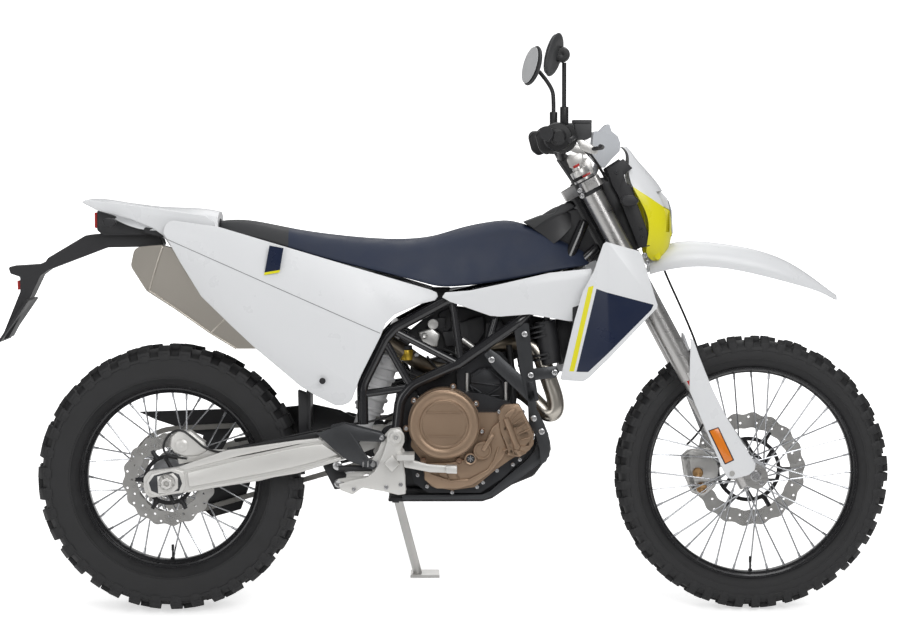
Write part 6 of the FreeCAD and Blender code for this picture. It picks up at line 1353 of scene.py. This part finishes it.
# Risers and cables: machined silver bar clamps with red rings under them, and a black sheathed
# cable from each grip down behind the mask.
riser = slab(spots(45, (565.5, 158), (570, 153), (582, 152), (584, 160), (578, 169), (568, 168)),
             22, 58, 4, 3)
riser_foot = slab(spots(45, (583, 160), (587, 156), (591, 162), (594, 172), (582, 176), (578, 168)),
                  24, 56, 3, 2)
on_both_sides(joined([riser, riser_foot]), "riser", "steering", "fork_silver", satin_silver)
riser_ring = slab(spots(45, (582, 175), (589.5, 171), (590.5, 173.5), (583, 177.5)), 22, 60, 1, 2)
on_both_sides(riser_ring, "riser_ring", "steering", "fork_silver", seal_red)
cables = joined([hose([seen(588, 150, 200), seen(598, 163, 120), seen(606, 178, 70),
                       seen(614, 192, 50)], 3.2, 8),
                 hose([seen(585, 150, -200), seen(600, 166, -120), seen(607, 182, -70),
                       seen(613, 196, -50)], 3.2, 8)])
finished(cables, "control_cables", "steering", "black_plastic", rubber_hose)


# Air intake and nose cap: black plastic mouldings over the tank's nose, behind the steering
# head. They are screwed to the frame.
head_box = slab(spots(30, (536, 224), (556, 215), (566, 209), (580, 207), (590, 205), (603, 232),
                      (604, 256), (588, 262), (562, 248), (546, 236)), -30, 30, 4, 3)
finished(head_box, "air_intake", "chassis", "black_plastic", black_plastic)
nose_cap = slab(spots(30, (523, 221), (540, 214.5), (554, 211.5), (560.6, 204), (571, 200.7),
                      (575, 206), (566, 211), (548, 221), (534, 228)), -38, 38, 4, 3)
finished(nose_cap, "tank_nose_cap", "chassis", "black_plastic", shell_grey)


# Swingarm: one long aluminium casting with ridges along its side, an axle block that slides in
# a slot, and a rubber slider on top.
cast_bright = finish_of("cast_bright", (0.74, 0.73, 0.705), (0.32, 0.44), metal=0.45, grain=500,
                        relief=0.00005, mottle=0.08)
paint_nodes(cast_bright, "swingarm", "footpegs")
swing_face = slab(spots(140, (186, 472), (240, 459), (296, 447), (322, 443), (338, 454), (316, 461),
                        (290, 467.5), (252, 475), (188, 487)), 134, 144, 3.5, 3)
swing_top = slab(spots(138, (176, 466.8), (226, 449.6), (297, 439.6), (318, 437.6), (323, 440.5),
                       (296, 443.8), (240, 455), (184, 469.5)), 128, 141, 2.5, 3)
swing_foot = slab(spots(138, (186, 492.5), (248, 481), (297, 473), (342, 459.5), (340, 456),
                        (317, 463), (291, 469.8), (253, 477.5), (186, 489.5)), 128, 140, 2.5, 3)
swing_end = slab(spots(138, (144.5, 482), (150, 473), (172, 467.8), (183, 471), (185, 484),
                       (182, 492.5), (154, 496), (147, 492)), 132, 141, 3, 3)
on_both_sides(joined([swing_face, swing_top, swing_foot, swing_end]), "swingarm_ridges", "chassis",
              "swingarm_silver", cast_bright)
# The slot round the axle block is a thin dark grey sheet: painted shade in the recess.
slot = slab(spots(141, (147.5, 482.5), (153, 475), (170, 471), (178, 474), (181, 483), (178, 490.5),
                  (158, 494), (150, 490.5)), 139, 142, 1, 2)
on_both_sides(slot, "axle_slot_painted_shade", "chassis", "swingarm_silver", grey_plate_and_recess_shade)
axle_block = slab(spots(141, (156, 476), (172, 472.5), (177, 478), (177, 488), (172, 492),
                        (157, 493.5)), 140, 145, 1.5, 2)
nut_face = joined([turned_face(seen(165.4, 483.3, 144), ((0, 8), (3, 8), (3, 21), (1.5, 22),
                                                         (0, 22)), 40),
                   soften(turned_face(seen(165.4, 483.3, 146),
                                      ((0, 8), (8, 8), (8, 15), (0, 15)), 6), 1),
                   axle_block])
on_both_sides(nut_face, "axle_block", "chassis", "swingarm_silver", cast_bright)
slider = slab(spots(120, (226, 447.5), (296, 434.8), (317, 430.5), (319, 436.5), (297, 439),
                    (228, 450.5)), 104, 134, 1.5, 2)
on_both_sides(slider, "swingarm_slider", "chassis", "black_plastic", rubber_hose)


# Heel guards, footpegs and foot levers: grey steel guards, cast brackets that are bolted to the
# frame, toothed steel pegs, and forged levers.
heel = slab(spots(150, (315.6, 433), (344, 423), (383, 433.5), (386.5, 437), (383, 441.5),
                  (357.7, 440.6), (367, 457.5), (377, 461.5), (377.5, 466), (373, 469.5),
                  (350, 461.5), (342, 456.5)), 146, 150, 1.5, 2)
on_both_sides(heel, "heel_guard", "chassis", "dark_plate", grey_plate_and_recess_shade)
on_both_sides(cap_screws(150, 4, 6, (381.4, 437.3), (372.6, 464.2)), "heel_guard_bolts", "chassis",
              "frame_black", bolt_steel)
bracket_face = slab(spots(158, (389, 431), (396, 427.5), (403, 432), (404.5, 441), (401, 449),
                          (403, 458), (405, 475), (405.5, 494), (398, 495), (384, 491.5),
                          (362, 487.5), (352, 494.5), (340, 490), (338, 484), (350, 480.5),
                          (366, 477), (374, 471), (382, 455), (386, 442)), 150, 160, 3, 3)
peg_ring = turned_face(seen(395.5, 437, 160), ((0, 0.5), (3, 0.5), (3, 8), (6, 9), (6, 15), (3, 18),
                                               (1, 22), (0, 22)), 40)
diamond = slab(spots(160, (391.5, 454), (400, 463), (391.5, 472), (383, 463)), 158, 167, 4, 3)
on_both_sides(joined([bracket_face, peg_ring, diamond]), "footpeg_bracket", "chassis",
              "swingarm_silver", cast_bright)
on_both_sides(cap_screws(160, 5, 5.5, (395.5, 437), (386, 487), (400.5, 484.5), (353.5, 489)),
              "footpeg_bolts", "chassis", "frame_black", bolt_steel)
pedal = slab(spots(180, (402, 454), (410, 459), (428, 464), (457, 466), (457, 473), (430, 472),
                   (404, 467)), 170, 184, 3, 3)
pedal_pad = slab(spots(190, (446, 465), (457, 465.5), (457, 473), (446, 472.5)), 168, 206, 2, 2)
levers = on_both_sides(joined([pedal, pedal_pad]), "foot_lever", "chassis", "swingarm_silver",
                       cast_bright)
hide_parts("foot_levers")
teeth = joined([slab(ribbon(((x, 390), (x, 402)), 3), low, low + 3, 0, 1)
                for x in (500, 512, 524, 536) for low in (166, 180, 194, 208)])
on_both_sides(teeth, "footpeg_teeth", "chassis", "swingarm_silver", bolt_steel)


# Rear brake: a floating cast caliper on its stay over the disc, its hose along the swingarm, and
# its master cylinder. The mud flap, chain guard and shock linkage stand round them.
rear_body = slab(spots(100, (170, 436), (178, 428), (190, 431), (204, 441), (207, 450), (198, 455),
                       (184, 456), (174, 452), (169, 446)), 92, 112, 5, 3)
rear_bridge = slab(spots(100, (176, 430), (190, 430), (205, 442), (200, 446), (188, 436),
                         (178, 436)), 66, 110, 3, 3)
rear_piston = turned_face(seen(180.5, 445, 112), ((0, 0.5), (3, 0.5), (4, 5), (4, 12), (1, 17),
                                                  (0, 17)), 32)
rear_stay = slab(spots(104, (176, 456), (204, 449), (226, 449), (214, 456), (178, 464)), 96, 108, 3, 2)
rear_caliper = finished(joined([rear_body, rear_bridge, rear_piston, rear_stay]),
                        "rear_caliper_body", "chassis", "caliper", cast_bright)
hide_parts("rear_caliper")
rear_line = joined([hose([seen(186, 458, 112), seen(166, 456, 114), seen(161, 446, 114),
                          seen(168, 433, 114), seen(180, 428, 112), seen(192, 437, 112),
                          seen(206, 450, 112), seen(222, 452, 112)], 3, 8),
                    hose([seen(222, 452, 120), seen(260, 442, 128), seen(297, 434, 128),
                          seen(345, 424, 110), seen(380, 420, 90), seen(404, 408, 84)], 3, 8)])
finished(rear_line, "rear_brake_hose", "chassis", "black_plastic", rubber_hose)
flap = slab(spots(70, (297.5, 389), (308.5, 393), (309.5, 431.5), (298.5, 434)), 40, 78, 2, 2)
finished(flap, "mud_flap_side", "chassis", "black_plastic", black_plastic)
front_guard = slab(spots(-85, (262, 408), (313, 403), (340, 409), (362, 420), (345, 425),
                         (297, 433), (280, 430)), -84, -78, 2, 2)
finished(front_guard, "chain_guard_front", "chassis", "black_plastic", black_plastic)
master = joined([round_bar(seen(338, 468, 130), seen(372, 468, 130), 8, 20),
                 round_bar(seen(340, 462, 120), seen(366, 456, 120), 4, 12),
                 slab(spots(110, (322, 466), (334, 462), (346, 474), (344, 488), (334, 490)),
                      84, 104, 3, 2)])
finished(master, "rear_master_cylinder", "chassis", "black_plastic", black_plastic)
link_bits = joined([turned_face(seen(337, 465, 126), ((0, 0.5), (4, 0.5), (5, 8), (3, 12), (0, 12)),
                                24),
                    turned_face(seen(338, 483, 126), ((0, 0.5), (4, 0.5), (5, 8), (3, 11), (0, 11)),
                                24),
                    round_bar(seen(345, 472, 120), seen(370, 466, 120), 4, 12)])
finished(link_bits, "shock_linkage", "chassis", "swingarm_silver", bolt_steel)


# Chain: steel side plates, pressed from strip, on hardened pins. It runs link by link round
# both sprockets.
chain_steel = finish_of("chain_steel", (0.34, 0.33, 0.31), (0.32, 0.5), metal=1.0, grain=400)
REAR_PITCH, FRONT_PITCH = 113.8, 38.2
LINK_PITCH = 15.875
CHAIN_LINE = 95
PIN_HALF = 8.2
OUTER_PLATES, INNER_PLATES = 7.6, 5.2
OUTPUT = Vector((652, 0, 455))
AXLE = Vector((0, 0, 345))
gap = OUTPUT - AXLE
slope = math.atan2(gap.z, gap.x)
tilt = math.acos((REAR_PITCH - FRONT_PITCH) / gap.length)
straight = gap.length * math.sin(tilt)
runs = (2 * REAR_PITCH * (math.pi - tilt), straight, 2 * FRONT_PITCH * tilt, straight)
LINKS = round(sum(runs) / LINK_PITCH)


def chain_place(reach):
    """The place of a pin, so far along the chain's loop."""
    if reach < runs[0]:
        turn, centre, radius, offset = slope + tilt + reach / REAR_PITCH, AXLE, REAR_PITCH, 0
    elif reach < runs[0] + runs[1]:
        turn, centre, radius, offset = slope - tilt, AXLE, REAR_PITCH, reach - runs[0]
    elif reach < runs[0] + runs[1] + runs[2]:
        turn = slope - tilt + (reach - runs[0] - runs[1]) / FRONT_PITCH
        centre, radius, offset = OUTPUT, FRONT_PITCH, 0
    else:
        turn, centre, radius = slope + tilt, OUTPUT, FRONT_PITCH
        offset = reach - runs[0] - runs[1] - runs[2]
    along = Vector((-math.sin(turn), 0, math.cos(turn)))
    return centre + Vector((math.cos(turn), 0, math.sin(turn))) * radius + along * offset


links = []
pins = [chain_place(sum(runs) * index / LINKS) for index in range(LINKS)]
for index, pin in enumerate(pins):
    after = pins[(index + 1) % LINKS]
    wide = OUTER_PLATES if index % 2 else INNER_PLATES
    links.append(round_bar(pin + Vector((0, CHAIN_LINE - PIN_HALF, 0)),
                           pin + Vector((0, CHAIN_LINE + PIN_HALF, 0)), 4.6, 8))
    for side in (-1, 1):
        aside = CHAIN_LINE + side * wide
        clear_selection()
        bpy.ops.mesh.primitive_cube_add(size=1)
        plate = bpy.context.object
        run = after - pin
        plate.scale = Vector((run.length + 6, 1.8, 12.5)) * MM
        plate.rotation_euler = (0, -math.atan2(run.z, run.x), 0)
        plate.location = ((pin + after) / 2 + Vector((0, aside, 0))) * MM
        links.append(settle(plate))
chain_piece = finished(joined(links), "chain_links", "chassis", "chain_steel", chain_steel)
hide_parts("drive_chain")


# Tail and rear lamps: white side pieces over a black lamp block with a red lens, indicator pods
# on short stalks, and a red reflector on the number plate's arm.
tail_side = slab(spots(98, (82, 201), (87, 198.2), (130, 203.3), (172, 209), (206, 214), (214, 220),
                       (216, 228), (171, 246), (163, 234), (153, 227), (132, 218.3), (97, 209)),
                 88, 102, 4, 3)
on_both_sides(tail_side, "tail_side", "chassis", "white_plastic", white_plastic)
lamp_block = slab(spots(60, (98, 209), (132, 219), (152, 227), (163, 234), (104, 234), (97.8, 229)),
                  -72, 72, 4, 3)
lamp_block = finished(lamp_block, "rear_lamp_block", "chassis", "lamp_red", black_plastic)
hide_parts("rear_lamps")
rear_lens = slab(spots(0, (97, 211), (100, 211), (100, 227), (97, 226)), -44, 44, 2, 2)
finished(rear_lens, "rear_lamp_lens", "chassis", "lamp_red", seal_red)
rear_pod = joined([slab(spots(130, (102.5, 219), (106, 216.8), (114, 217), (117, 221), (114, 225.5),
                              (105, 225.5)), 108, 141, 5, 4),
                   round_bar(seen(112, 221, 72), seen(112, 221, 112), 6, 16)])
on_both_sides(rear_pod, "indicator_rear", "chassis", "lamp_red", black_plastic)
plate_reflector = slab(spots(0, (19.2, 279), (22, 278.5), (23, 287.5), (19.6, 288)), -32, 32, 1, 2)
finished(plate_reflector, "plate_reflector", "chassis", "lamp_red", seal_red)


# Silencer bands: the folds and the lip of the titanium box. Each is a thin strip of the same
# sheet, welded on.
silencer_bands = joined([slab(ribbon(spots(124, first, last), 4), 118, 129, 1, 2)
                         for first, last in (((162.6, 245), (149.2, 289)),
                                             ((224, 318.5), (210.4, 332)),
                                             ((149.2, 289), (210.4, 332)),
                                             ((210.4, 332), (236, 347.5)))])
finished(silencer_bands, "silencer_bands", "chassis", "titanium", titanium)

clear_selection()
